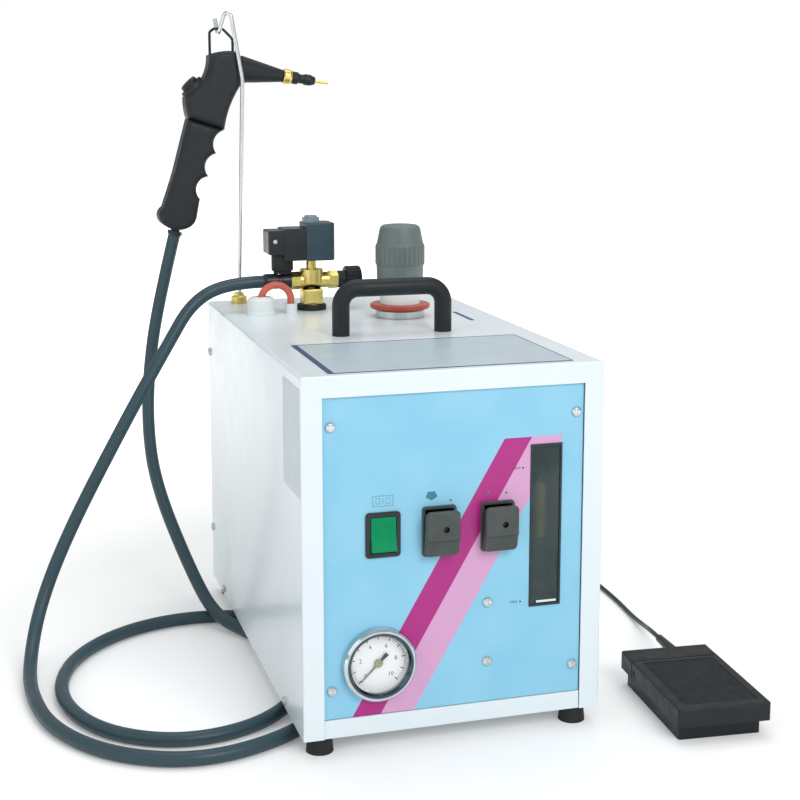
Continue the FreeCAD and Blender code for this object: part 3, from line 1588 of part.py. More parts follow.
def pedal_spring():
    """The return spring: a steel wire wound round its own axis, under the treadle."""
    quarter = math.pi / 2
    edges = []
    for index in range(4 * SPRING_TURNS):
        low, high = quarter * index, quarter * (index + 1)
        edges += biarc(spring_point(low), spring_tangent(low), spring_point(high),
                       spring_tangent(high))
    shape = tube_along(Part.Wire(Part.__sortEdges__(edges)), SPRING_WIRE)
    shape.translate(Vector(*pedal_spot(0, -24, 0)))
    return solid("pedal_spring", shape)


def pedal_switch():
    wall = named("pedal_wall")
    body = block("pedal_switch", pedal_at(), (-14, 14), (HINGE_BACK - 33.6, HINGE_BACK - 22.4),
                 (wall + 1.5, wall + 13), PEDAL_TURN)
    button = new_sketch(body, "XY_Plane", wall + 13)
    rectangle(button, -2, 2, HINGE_BACK - 30, HINGE_BACK - 26)
    pad(body, button, 5.6)
    return body


def cable_relief():
    """The tapered sleeve where the cable leaves the pedal."""
    length = named("relief_length")
    cable = named("cable_radius")
    step = PEDAL_TURN.multVec(Vector(CABLE_SIDE, PEDAL_REAR.number, 0))
    return turned("cable_relief", (named("pedal_across") + step.x, named("pedal_back") + step.y,
                                   named("cable_exit_height")), [
        (cable + 0.02, 0), (5.6, 0), (5.6, 3), (4.6, 4), (cable + 1.2, length - 1),
        (cable + 0.6, length), (cable + 0.02, length)], PEDAL_TURN * TOWARDS_Y)


def cable_route():
    """The cable's chosen points from inside the relief to the start of the coil."""
    start = Vector(*pedal_spot(CABLE_SIDE, PEDAL_REAR.number, number("cable_exit_height")))
    ahead = PEDAL_TURN.multVec(Vector(0, 1, 0))
    out = start + ahead * (number("relief_length") + 17)
    lying = number("cable_radius") + 0.3
    return [tuple(start), tuple(out), (228, -34, 7), (234, 6, lying), (238, 42, lying),
            (240, 86, lying), (240, 132, lying), (236, 178, lying), (221, 228, lying),
            coil_start_before(), coil_start()]


COIL_CENTRE = (150.0, 258.0)


def coil_turns():
    return 3


def coil_outer():
    return number("coil_middle_radius") + number("coil_pitch") * (coil_turns() - 1) / 2


def coil_start():
    lying = number("cable_radius") + 0.3
    return (COIL_CENTRE[0] + number("cable_radius") * 2,
            COIL_CENTRE[1] + coil_outer() + number("coil_pitch") / 2, lying)


def coil_start_before():
    first = coil_start()
    return (first[0] + 34, first[1], first[2])


def cable_run():
    radius = number("cable_radius")
    wire, radii = rounded_path(cable_route())
    shape = tube_along(wire, radius)
    report_tube("cable_run", wire, radius, shape, radii)
    return solid("cable_run", shape)


def coil_point(turn_angle):
    """The coil's middle line: inwards on the bench, a climb, and outwards on top."""
    pitch = number("coil_pitch")
    outer = coil_outer() + pitch / 2
    inward = 2 * math.pi * coil_turns()
    climb = math.pi
    low = number("cable_radius") + 0.3
    layer = number("coil_layer")
    if turn_angle <= inward:
        radius = outer - pitch * turn_angle / (2 * math.pi)
        up = low
    elif turn_angle <= inward + climb:
        part = (turn_angle - inward) / climb
        radius = outer - pitch * coil_turns()
        up = low + layer * (1 - math.cos(math.pi * part)) / 2
    else:
        radius = outer - pitch * coil_turns() + pitch * (turn_angle - inward - climb) / (2 * math.pi)
        up = low + layer
    angle = math.pi / 2 + turn_angle
    return Vector(COIL_CENTRE[0] + radius * math.cos(angle),
                  COIL_CENTRE[1] + radius * math.sin(angle), up)


def coil_total_angle():
    return 2 * math.pi * coil_turns() * 2


def biarc(start, ahead, end, onward):
    """Two tangent arcs from one point and direction to another."""
    span = end - start
    both = ahead + onward
    spread = 2 * (1 - ahead.dot(onward))
    along = span.dot(both)
    if spread < 1e-9:
        reach = span.dot(span) / (4 * span.dot(onward))
    else:
        reach = (-along + math.sqrt(along ** 2 + spread * span.dot(span))) / spread
    joint = (start + ahead * reach + end - onward * reach) * 0.5
    return [tangent_arc(start, ahead, joint), tangent_arc(end, -onward, joint)]


def tangent_arc(start, ahead, end):
    chord = end - start
    side = ahead - chord * (ahead.dot(chord) / chord.dot(chord))
    half_angle = ahead.getAngle(chord) / 2
    sag = chord.Length / 2 * math.tan(half_angle)
    crown = start + chord * 0.5 + side.normalize() * sag
    return Part.Arc(start, crown, end).toShape()


def coil_tangent(angle):
    step = 1e-4
    low = max(angle - step, 0)
    high = min(angle + step, coil_total_angle())
    return (coil_point(high) - coil_point(low)).normalize()


def coil_wire():
    quarter = math.pi / 2
    count = round(coil_total_angle() / quarter)
    edges = []
    lead = number("cable_radius") * 2
    first = coil_point(0)
    edges.append(Part.LineSegment(first - coil_tangent(0) * lead, first).toShape())
    for index in range(count):
        low, high = quarter * index, quarter * (index + 1)
        edges += biarc(coil_point(low), coil_tangent(low), coil_point(high), coil_tangent(high))
    last = coil_point(coil_total_angle())
    ahead = coil_tangent(coil_total_angle())
    edges.append(Part.LineSegment(last, last + ahead * lead).toShape())
    return Part.Wire(Part.__sortEdges__(edges))


def cable_coil():
    wire = coil_wire()
    shape = tube_along(wire, number("cable_radius"))
    gap = coil_gap()
    print(f"cable_coil: length {wire.Length:.0f} mm, least gap between turns {gap:.2f} mm,"
          f" volume ratio {shape.Volume / (math.pi * number('cable_radius') ** 2 * wire.Length):.4f}")
    return solid("cable_coil", shape)


def coil_gap():
    """The least gap of the coil to itself, measured on points along its middle line."""
    step = math.radians(6)
    total = coil_total_angle()
    spots = [coil_point(step * index) for index in range(int(total / step))]
    apart = int(math.radians(200) / step)
    least = min((spots[a] - spots[b]).Length
                for a in range(len(spots)) for b in range(a + apart, len(spots)))
    return least - 2 * number("cable_radius")


def cable_end():
    """From the top of the coil up to the gland in the rear panel."""
    last = coil_point(coil_total_angle())
    ahead = coil_tangent(coil_total_angle())
    lead = number("cable_radius") * 2
    start = last + ahead * lead
    across, up = GLAND
    port = (across, REAR_FACE.number + 14, up)
    wire, radii = rounded_path([
        tuple(start), tuple(start + ahead * 22), (90, 278, 11), (72, 258, 26),
        (across, 236, 46), (across, 222, up), port])
    shape = tube_along(wire, number("cable_radius"))
    report_tube("cable_end", wire, number("cable_radius"), shape, radii)
    return solid("cable_end", shape)


# Build, check and write

def build_all():
    for make in (base_tray, cabinet_cover, front_panel, rear_panel, rubber_feet,
                 cabinet_screws, carry_handle, rocker_frame, rocker_button):
        make()
    for side in ("left", "right"):
        paddle_frame(side + "_paddle_frame", f"paddle_{side}_across")
        paddle(side + "_paddle", f"paddle_{side}_across")
    for make in (gauge_case, gauge_dial, gauge_needle, gauge_glass, gauge_bezel,
                 window_frame, sight_tube, sight_fittings, level_float,
                 valve_nipple, valve_body, valve_plunger, valve_coil, coil_nut, coil_plug,
                 flow_knob, hose_socket, lead_boot, sleeved_lead,
                 filler_neck, cap_gasket, cap_collar, filler_cap,
                 boiler_tank, heater, gauge_pipe, mains_inlet, pedal_gland,
                 holder_rod, holder_nut, gun_head, gun_grip, gun_button, gun_nozzle,
                 nozzle_core, nozzle_tip, gun_loop, gun_tail, steam_hose,
                 pedal_base, pedal_treadle, pedal_spring, pedal_switch,
                 cable_relief, cable_run, cable_coil, cable_end):
        make()


def set_origin():
    """Move the frame so that its zero is the middle of the footprint, cords left out."""
    document.recompute()
    whole = FreeCAD.BoundBox()
    for piece in PIECES:
        if piece.Label not in CORD_PIECES:
            whole.add(piece.Shape.BoundBox)
    sheet.set(sheet.getCellFromAlias("frame_across"), str(-(whole.XMin + whole.XMax) / 2))
    sheet.set(sheet.getCellFromAlias("frame_back"), str(-(whole.YMin + whole.YMax) / 2))
    document.recompute()
    print(f"frame offset {-(whole.XMin + whole.XMax) / 2:.3f}, "
          f"{-(whole.YMin + whole.YMax) / 2:.3f}")


def check_document():
    """Stop with a list of every feature that failed and every piece without a solid."""
    faults = [f"{item.Label} {item.State}" for item in document.Objects
              if "Invalid" in item.State or "Error" in item.State]
    faults += [f"{piece.Label} has no valid solid" for piece in PIECES
               if piece.Shape.isNull() or not piece.Shape.isValid() or not piece.Shape.Solids]
    if faults:
        raise RuntimeError("; ".join(faults))


def write_parts():
    os.makedirs("parts", exist_ok=True)
    for piece in PIECES:
        piece.Shape.exportStep(f"parts/{piece.Label}.step")
    print(f"wrote {len(PIECES)} pieces")


build_all()
set_origin()
check_document()
write_parts()
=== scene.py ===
"""Looks for the jewelry steam cleaner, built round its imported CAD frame."""

import math

import bpy
from mathutils import Matrix, Vector


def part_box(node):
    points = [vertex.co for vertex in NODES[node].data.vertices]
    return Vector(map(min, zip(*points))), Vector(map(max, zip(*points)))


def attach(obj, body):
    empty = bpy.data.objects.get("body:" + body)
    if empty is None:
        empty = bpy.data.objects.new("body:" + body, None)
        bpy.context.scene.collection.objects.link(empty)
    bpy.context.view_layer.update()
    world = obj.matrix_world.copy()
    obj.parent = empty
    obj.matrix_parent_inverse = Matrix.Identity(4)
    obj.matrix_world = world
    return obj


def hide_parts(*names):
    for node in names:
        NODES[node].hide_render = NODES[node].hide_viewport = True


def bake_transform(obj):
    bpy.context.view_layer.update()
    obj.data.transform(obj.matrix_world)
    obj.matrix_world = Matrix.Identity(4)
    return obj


bl_info = {
    "name": "Jewelry Steam Cleaner",
    "version": (1, 0, 0),
    "blender": (4, 5, 0),
    "location": "View3D > Sidebar > Steam Cleaner",
    "description": "Builds the looks of a bench steam cleaner round its CAD frame",
    "category": "Add Mesh",
}

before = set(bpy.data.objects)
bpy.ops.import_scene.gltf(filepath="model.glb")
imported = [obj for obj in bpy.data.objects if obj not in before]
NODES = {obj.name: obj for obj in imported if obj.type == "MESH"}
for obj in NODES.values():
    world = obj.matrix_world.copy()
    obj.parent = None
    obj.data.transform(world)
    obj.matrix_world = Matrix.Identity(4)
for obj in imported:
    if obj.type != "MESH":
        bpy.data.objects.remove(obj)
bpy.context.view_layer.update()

# Lengths are in millimetres, and places are from the middle of the cabinet's footprint.
COVER_LOW, COVER_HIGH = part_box("cabinet_cover")
HOME = Vector(((COVER_LOW.x + COVER_HIGH.x) / 2, (COVER_LOW.y + COVER_HIGH.y) / 2, 0.0))
MM = 0.001
PANEL_FACE = -190.5
COVER_TOP = 276.0

# Across and up on the panel
GAUGE_MIDDLE = (-57.1, 66.2)
WINDOW_MIDDLE = (68.8, 157.0)
LEVER_HOLES = ((-10.4, 163.5), (33.6, 163.5))
LEVER_HOLE_RADIUS = 2.3
SWITCH_SIGN_MIDDLE = (-53.7, 184.8)

# Across and back on the cover; the border's widths are at its left, right, front and back
VALVE_MIDDLE = (-32.0, 118.0)
LABEL_MIDDLE = (0.0, -125.0)
LABEL_SIZE = (182.0, 120.0)
LABEL_BORDER = ((4.6, 1.2), (1.6, 2.2))

# The stripes' lean across for each millimetre up, their top, and where each starts and ends
STRIPE_SLOPE = 0.578
STRIPE_TOP = 223.4
STRIPE_BANDS = ((-92.5, -71.5), (-71.5, -46.8))

# The gauge: its needle's direction at rest, and its scale's first angle and sweep in degrees
NEEDLE_REST = (-0.707, 0, -0.707)
SCALE_START = 225
SCALE_SWEEP = 270

# The thickness of print, and the share of a font's size that its capitals are high
INK = 0.06
CAPITAL_SHARE = 0.69

# Turns for a flat piece drawn in XY, so that it faces the front or the left
FACE_FRONT = Matrix.Rotation(math.radians(90), 3, "X")
FACE_LEFT = Matrix.Rotation(math.radians(-90), 3, "Z") @ FACE_FRONT

# A turned piece's smallest radius; its ring is merged to a point afterwards
TIP = 0.001


def spot(across, back, up):
    """A point of the frame, from millimetres about the cabinet."""
    return Vector((HOME.x + across * MM, HOME.y + back * MM, up * MM))


# Selecting and shaping


def deselect_all():
    for item in bpy.context.selected_objects:
        item.select_set(False)


def only(item):
    """Makes one object the selected and active one."""
    if bpy.context.object and bpy.context.object.mode != "OBJECT":
        bpy.ops.object.mode_set(mode="OBJECT")
    deselect_all()
    item.select_set(True)
    bpy.context.view_layer.objects.active = item
    return item


def settle(item, turn=None, place=None):
    """Turns an object modelled about zero, puts it in its place and leaves its transform clean."""
    only(item)
    bpy.ops.object.transform_apply(location=True, rotation=True, scale=True)
    if turn is not None:
        item.data.transform(turn.to_4x4())
    if place is not None:
        item.data.transform(Matrix.Translation(place))
    return item


def coat(item, finish):
    """Gives an object one finish all over."""
    item.data.materials.clear()
    item.data.materials.append(FINISHES[finish])


def named(item, name, finish, smooth=35):
    """Names a finished piece, gives it its finish and smooths its gentle edges."""
    only(item)
    item.name = name
    item.data.name = name
    coat(item, finish)
    if smooth:
        bpy.ops.object.shade_smooth_by_angle(angle=math.radians(smooth))
    return item


def dress(item, name, body, finish, replaces=(), smooth=35):
    """Names and finishes a piece and lets it ride on its body."""
    named(item, name, finish, smooth)
    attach(item, body)
    if replaces:
        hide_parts(*replaces)
    return item


def add_modifier(item, kind, **settings):
    """Adds a modifier with its settings and applies it."""
    only(item)
    modifier = item.modifiers.new(kind.title(), kind)
    for name, value in settings.items():
        setattr(modifier, name, value)
    bpy.ops.object.modifier_apply(modifier=modifier.name)
    return item


def turned(profile, sides=48):
    """A turned piece about Z: a ring, extruded and widened to each (radius, height) in turn."""
    deselect_all()
    first = profile[0]
    start = max(first[0], TIP)
    bpy.ops.mesh.primitive_circle_add(vertices=sides, radius=start * MM,
                                      location=(0, 0, first[1] * MM))
    item = bpy.context.object
    only(item)
    bpy.ops.object.transform_apply(location=True, rotation=True, scale=True)
    bpy.ops.object.mode_set(mode="EDIT")
    bpy.ops.mesh.select_all(action="SELECT")
    radius, height = start, first[1]
    for wide, up in profile[1:]:
        wide = max(wide, TIP)
        bpy.ops.mesh.extrude_region_move(
            TRANSFORM_OT_translate={"value": (0, 0, (up - height) * MM)})
        share = wide / radius
        bpy.ops.transform.resize(value=(share, share, 1))
        radius, height = wide, up
    bpy.ops.mesh.select_all(action="SELECT")
    bpy.ops.mesh.remove_doubles(threshold=0.01 * MM)
    bpy.ops.mesh.normals_make_consistent(inside=False)
    bpy.ops.object.mode_set(mode="OBJECT")
    return item


def opened(add_primitive, wide, deep, high=1.0):
    """A unit primitive about zero, brought to its size and left open in edit mode."""
    deselect_all()
    add_primitive(size=1)
    item = only(bpy.context.object)
    item.scale = (wide * MM, deep * MM, high * MM)
    bpy.ops.object.transform_apply(location=False, rotation=False, scale=True)
    bpy.ops.object.mode_set(mode="EDIT")
    bpy.ops.mesh.select_all(action="SELECT")
    return item


def bevelled_block(wide, deep, high, bevel, segments=3):
    """A block about zero with all its edges bevelled."""
    item = opened(bpy.ops.mesh.primitive_cube_add, wide, deep, high)
    bpy.ops.mesh.bevel(offset=bevel * MM, segments=segments, affect="EDGES")
    bpy.ops.object.mode_set(mode="OBJECT")
    return item


def plate(wide, high, thick, corner=0.8):
    """A flat plate about zero with rounded corners, drawn in XY and raised along Z."""
    item = opened(bpy.ops.mesh.primitive_plane_add, wide, high)
    if corner:
        bpy.ops.mesh.bevel(offset=corner * MM, segments=4, affect="VERTICES")
    raise_up(thick)
    return item


def raise_up(thick):
    """Extrudes the flat mesh in edit mode into a closed slab."""
    bpy.ops.mesh.select_all(action="SELECT")
    bpy.ops.mesh.extrude_region_move(TRANSFORM_OT_translate={"value": (0, 0, thick * MM)})
    bpy.ops.mesh.select_all(action="SELECT")
    bpy.ops.mesh.normals_make_consistent(inside=False)
    bpy.ops.object.mode_set(mode="OBJECT")


def outline(wide, high, line, thick):
    """A rectangular ring of the given line width, about zero in XY."""
    item = opened(bpy.ops.mesh.primitive_plane_add, wide, high)
    bpy.ops.mesh.inset(thickness=line * MM, depth=0)
    bpy.ops.mesh.delete(type="FACE")
    raise_up(thick)
    return item


def polygon(sides, radius, thick, turn_degrees=0.0, squeeze=1.0):
    """A flat regular polygon about zero in XY, turned and squeezed in height."""
    deselect_all()
    bpy.ops.mesh.primitive_circle_add(vertices=sides, radius=radius * MM, fill_type="NGON")
    item = only(bpy.context.object)
    item.data.transform(Matrix.Rotation(math.radians(turn_degrees), 4, "Z"))
    item.data.transform(Matrix.Diagonal((1, squeeze, 1, 1)))
    bpy.ops.object.mode_set(mode="EDIT")
    raise_up(thick)
    return item


def lettering(words, high, thick):
    """Plain lettering of the given capital height, centred about zero in XY."""
    deselect_all()
    bpy.ops.object.text_add(location=(0, 0, 0))
    item = only(bpy.context.object)
    item.data.body = words
    item.data.size = high * MM / CAPITAL_SHARE
    item.data.align_x = "CENTER"
    item.data.align_y = "CENTER"
    item.data.extrude = thick * MM / 2
    item.data.resolution_u = 3
    return as_mesh(item)


def as_mesh(item):
    """Turns a text or a curve into a mesh."""
    only(item)
    bpy.ops.object.convert(target="MESH")
    return bpy.context.object


def joined(items):
    """Joins several meshes into the first one."""
    deselect_all()
    for item in items:
        item.select_set(True)
    bpy.context.view_layer.objects.active = items[0]
    bpy.ops.object.join()
    return bpy.context.object


def copy_of(item, change):
    """A copy with its own mesh, moved or turned by a matrix."""
    made = item.copy()
    made.data = item.data.copy()
    made.data.transform(change)
    bpy.context.scene.collection.objects.link(made)
    return made


def wire_curve(name, points, radius, resolution, bevel):
    """A round wire, hose or cable on one smooth spline; its radius is in metres."""
    data = bpy.data.curves.new(name, "CURVE")
    data.dimensions = "3D"
    data.bevel_depth = radius
    data.bevel_resolution = bevel
    data.use_fill_caps = True
    data.resolution_u = resolution
    spline = data.splines.new("NURBS")
    spline.points.add(len(points) - 1)
    for point, place in zip(spline.points, points):
        point.co = (*spot(*place), 1.0)
    spline.order_u = 3
    spline.use_endpoint_u = True
    item = bpy.data.objects.new(name, data)
    bpy.context.scene.collection.objects.link(item)
    return item


# Materials


def linear(hexes):
    """An sRGB hex colour as Blender's linear red, green, blue and alpha."""
    parts = [int(hexes[i:i + 2], 16) / 255 for i in (1, 3, 5)]
    return tuple(((c + 0.055) / 1.055) ** 2.4 if c > 0.04045 else c / 12.92
                 for c in parts) + (1.0,)


def shade_up(hexes, share):
    """A colour a share lighter or darker, in linear light."""
    red, green, blue, alpha = linear(hexes)
    return (min(red * share, 1), min(green * share, 1), min(blue * share, 1), alpha)


def add(tree, kind, links=None, **settings):
    """Adds one shader node; links gives its inputs a value or another node's output."""
    made = tree.nodes.new("ShaderNode" + kind)
    for name, value in settings.items():
        setattr(made, name, value)
    for name, value in (links or {}).items():
        socket = made.inputs[name]
        if isinstance(value, bpy.types.NodeSocket):
            tree.links.new(value, socket)
        else:
            socket.default_value = value
    return made


def start_material(name, **sockets):
    """A new material with its shader's sockets set; returns it with its tree and coordinates."""
    made = bpy.data.materials.new(name)
    made.use_nodes = True
    tree = made.node_tree
    shader = tree.nodes["Principled BSDF"]
    for socket, value in sockets.items():
        shader.inputs[socket.replace("_", " ")].default_value = value
    return made, tree, shader, add(tree, "TexCoord").outputs["Object"]


def feed(tree, shader, **outputs):
    """Links outputs to the shader's sockets of those names."""
    for socket, output in outputs.items():
        tree.links.new(output, shader.inputs[socket.replace("_", " ")])


def mottle(tree, place, size_mm, low=0.0, high=1.0):
    """Soft blobs of about the given size that run from low to high."""
    noise = add(tree, "TexNoise", {"Vector": place, "Scale": 1000.0 / size_mm, "Detail": 2.0})
    # The noise seldom leaves the middle of its range, so that middle is stretched.
    stretched = add(tree, "MapRange", {"Value": noise.outputs["Fac"], "From Min": 0.35,
                                       "From Max": 0.65, "To Min": low, "To Max": high})
    return stretched.outputs["Result"]


def coats(tree, ground, *layers):
    """The ground colour with each further colour laid over it as far as its mask says."""
    for mask, colour in layers:
        # The sockets are numbered, because their names repeat.
        mixed = add(tree, "Mix", {0: mask, 6: ground, 7: colour}, data_type="RGBA")
        ground = mixed.outputs[2]
    return ground


def mottled(tree, place, size_mm, low, high):
    """A colour that runs between two in soft blobs of about the given size."""
    return coats(tree, linear(low), (mottle(tree, place, size_mm), linear(high)))


def grain(tree, shader, place, size_mm, depth_mm, strength, detail=2.0):
    """Gives the shader's surface a bump of the given size and depth."""
    noise = add(tree, "TexNoise", {"Vector": place, "Scale": 1000.0 / size_mm,
                                   "Detail": detail})
    bump = add(tree, "Bump", {"Height": noise.outputs["Fac"], "Strength": strength,
                              "Distance": depth_mm * MM})
    feed(tree, shader, Normal=bump.outputs["Normal"])


def cabinet_axes(tree, place):
    """How far a point lies across, back and up, in millimetres about the cabinet."""
    moved = add(tree, "Mapping", {"Vector": place, "Location": tuple(-HOME * 1000),
                                  "Scale": (1000, 1000, 1000)})
    return add(tree, "SeparateXYZ", {"Vector": moved.outputs["Vector"]}).outputs


def from_spot(tree, place, across, up, along=None):
    """How far a point is from a spot on the panel, or how far from it along a direction."""
    offset = add(tree, "Mapping", {"Vector": place, "Scale": (1000, 0, 1000),
                                   "Location": (-HOME.x * 1000 - across, 0, -up)})
    if along is None:
        far = add(tree, "VectorMath", {0: offset.outputs["Vector"]}, operation="LENGTH")
    else:
        far = add(tree, "VectorMath", {0: offset.outputs["Vector"], 1: along},
                  operation="DOT_PRODUCT")
    return far.outputs["Value"]


def surface(name, hexes, rough, grain_mm, depth_mm, cloud_mm, cloud, **sockets):
    """A solid finish: a fine grain in its bump, and slow clouds in its colour and gloss."""
    made, tree, shader, place = start_material(name, **sockets)
    colour = coats(tree, shade_up(hexes, 1 - cloud),
                   (mottle(tree, place, cloud_mm), shade_up(hexes, 1 + cloud)))
    gloss = mottle(tree, place, cloud_mm * 0.4, rough * 0.88, rough * 1.12)
    feed(tree, shader, Base_Color=colour, Roughness=gloss)
    grain(tree, shader, place, grain_mm, depth_mm, 0.6, 3.0)
    return made


def printed_panel():
    """Printed polyester overlay: an even satin film with two slanting stripes."""
    made, tree, shader, place = start_material("printed_overlay", IOR=1.5)
    axes = cabinet_axes(tree, place)
    lean = add(tree, "Math", {0: axes["Z"], 1: STRIPE_SLOPE}, operation="MULTIPLY").outputs[0]
    slant = add(tree, "Math", {0: axes["X"], 1: lean}, operation="SUBTRACT").outputs[0]
    below = add(tree, "Math", {0: axes["Z"], 1: STRIPE_TOP}, operation="LESS_THAN").outputs[0]
    face = add(tree, "Math", {0: axes["Y"], 1: PANEL_FACE + 0.2},
               operation="LESS_THAN").outputs[0]
    bands = []
    for low, high in STRIPE_BANDS:
        over = add(tree, "Math", {0: slant, 1: low}, operation="GREATER_THAN").outputs[0]
        under = add(tree, "Math", {0: slant, 1: high}, operation="LESS_THAN").outputs[0]
        both = add(tree, "Math", {0: over, 1: under}, operation="MULTIPLY").outputs[0]
        bands.append(add(tree, "Math", {0: both, 1: below}, operation="MULTIPLY").outputs[0])
    film = mottled(tree, place, 40.0, "#88C9E6", "#91CEE9")
    printed = coats(tree, film, (bands[0], linear("#AE1C80")), (bands[1], linear("#D6A2CB")))
    feed(tree, shader, Base_Color=coats(tree, linear("#C9CED0"), (face, printed)),
         Roughness=mottle(tree, place, 6.0, 0.30, 0.38))
    grain(tree, shader, place, 0.5, 0.01, 0.4)
    return made


def clear_glass(name, tint, rough, cover):
    """Clear glass or acrylic: cover is the share that bends light, the rest lets it straight
    through, so that what is behind stays as bright as behind a real thin sheet."""
    made, tree, shader, place = start_material(name, Roughness=rough, IOR=1.47,
                                               Transmission_Weight=1.0, Alpha=cover)
    feed(tree, shader, Base_Color=coats(tree, shade_up(tint, 0.96),
                                        (mottle(tree, place, 12.0), linear(tint))))
    return made


def smoked_acrylic():
    """Smoked acrylic sheet: grey green, dim, with a clean gloss and faint rub marks."""
    made, tree, shader, place = start_material("smoked_acrylic", IOR=1.49, Alpha=0.5)
    feed(tree, shader, Base_Color=mottled(tree, place, 22.0, "#37484A", "#425351"),
         Roughness=mottle(tree, place, 5.0, 0.08, 0.2))
    return made


def window_tray():
    """Dark polystyrene tray: blue black on its rim, greyer inside, with painted shade darkening
    its right wall.
    """
    made, tree, shader, place = start_material("moulded_polystyrene_tray", Roughness=0.5)
    axes = cabinet_axes(tree, place)
    inside = add(tree, "Math", {0: axes["Y"], 1: PANEL_FACE - 0.5},
                 operation="GREATER_THAN").outputs[0]
    # Painted shade: the right inner wall is coloured darker for the shade that falls on it.
    right = add(tree, "Math", {0: axes["X"], 1: WINDOW_MIDDLE[0] + 10.2},
                operation="GREATER_THAN").outputs[0]
    rim = mottled(tree, place, 14.0, "#15262C", "#1C3037")
    well = mottled(tree, place, 14.0, "#4A5855", "#55635E")
    well = coats(tree, well, (right, linear("#1F3336")))
    feed(tree, shader, Base_Color=coats(tree, rim, (inside, well)))
    grain(tree, shader, place, 0.6, 0.01, 0.5)
    return made


def printed_plate():
    """Screen printed polyester label: grey blue with a dark blue border line."""
    made, tree, shader, place = start_material("printed_label_film", Roughness=0.35)
    axes = cabinet_axes(tree, place)
    border = 0.0
    for axis, middle, size, widths in zip("XY", LABEL_MIDDLE, LABEL_SIZE, LABEL_BORDER):
        for limit, test in ((middle - size / 2 + widths[0], "LESS_THAN"),
                            (middle + size / 2 - widths[1], "GREATER_THAN")):
            edge = add(tree, "Math", {0: axes[axis], 1: limit}, operation=test).outputs[0]
            border = add(tree, "Math", {0: border, 1: edge}, operation="MAXIMUM").outputs[0]
    field = mottled(tree, place, 18.0, "#B4C5CE", "#B9CAD2")
    feed(tree, shader, Base_Color=coats(tree, field, (border, linear("#2A3E74"))))
    grain(tree, shader, place, 0.7, 0.01, 0.4)
    return made


def lever_plastic():
    """Grey ABS of the levers, moulded with a fine grain; its screw holes coloured near black as
    painted shade.
    """
    made, tree, shader, place = start_material("moulded_grey_abs", Specular_IOR_Level=0.4)
    # Painted shade: the screw holes are coloured near black for the shade down in them.
    holes = [add(tree, "Math", {0: from_spot(tree, place, *middle), 1: LEVER_HOLE_RADIUS},
                 operation="LESS_THAN").outputs[0] for middle in LEVER_HOLES]
    hole = add(tree, "Math", {0: holes[0], 1: holes[1]}, operation="MAXIMUM").outputs[0]
    body = mottled(tree, place, 14.0, "#3C4442", "#454D4B")
    feed(tree, shader, Base_Color=coats(tree, body, (hole, linear("#0B0D0D"))),
         Roughness=mottle(tree, place, 6.0, 0.34, 0.44))
    grain(tree, shader, place, 0.6, 0.01, 0.6)
    return made


def plated_bezel():
    """Nickel chrome on brass, nearly a mirror, with its inner slope coloured dark grey as painted
    shade and painted dark reflection.
    """
    made, tree, shader, place = start_material("nickel_chrome_bezel", Metallic=1.0)
    # Painted shade and painted dark reflection: the inner slope is coloured dark grey.
    inner = add(tree, "MapRange", {"Value": from_spot(tree, place, *GAUGE_MIDDLE),
                                   "From Min": 24.6, "From Max": 23.9, "To Min": 0.0,
                                   "To Max": 1.0}).outputs["Result"]
    bright = mottled(tree, place, 8.0, "#C3CACD", "#D3D9DB")
    feed(tree, shader, Base_Color=coats(tree, bright, (inner, linear("#46565F"))),
         Roughness=mottle(tree, place, 4.0, 0.1, 0.2))
    return made


def painted_needle():
    """Painted aluminium needle: dark tail, pale brass hub and a grey pointer."""
    made, tree, shader, place = start_material("painted_needle", Roughness=0.45)
    along = from_spot(tree, place, *GAUGE_MIDDLE, along=NEEDLE_REST)
    ahead = add(tree, "Math", {0: along, 1: 4.2}, operation="GREATER_THAN").outputs[0]
    behind = add(tree, "Math", {0: along, 1: -2.6}, operation="LESS_THAN").outputs[0]
    hub = mottled(tree, place, 2.0, "#8F977C", "#A3AA90")
    feed(tree, shader, Base_Color=coats(tree, hub, (ahead, linear("#707A79")),
                                        (behind, linear("#33454D"))))
    return made


FINISHES = {}


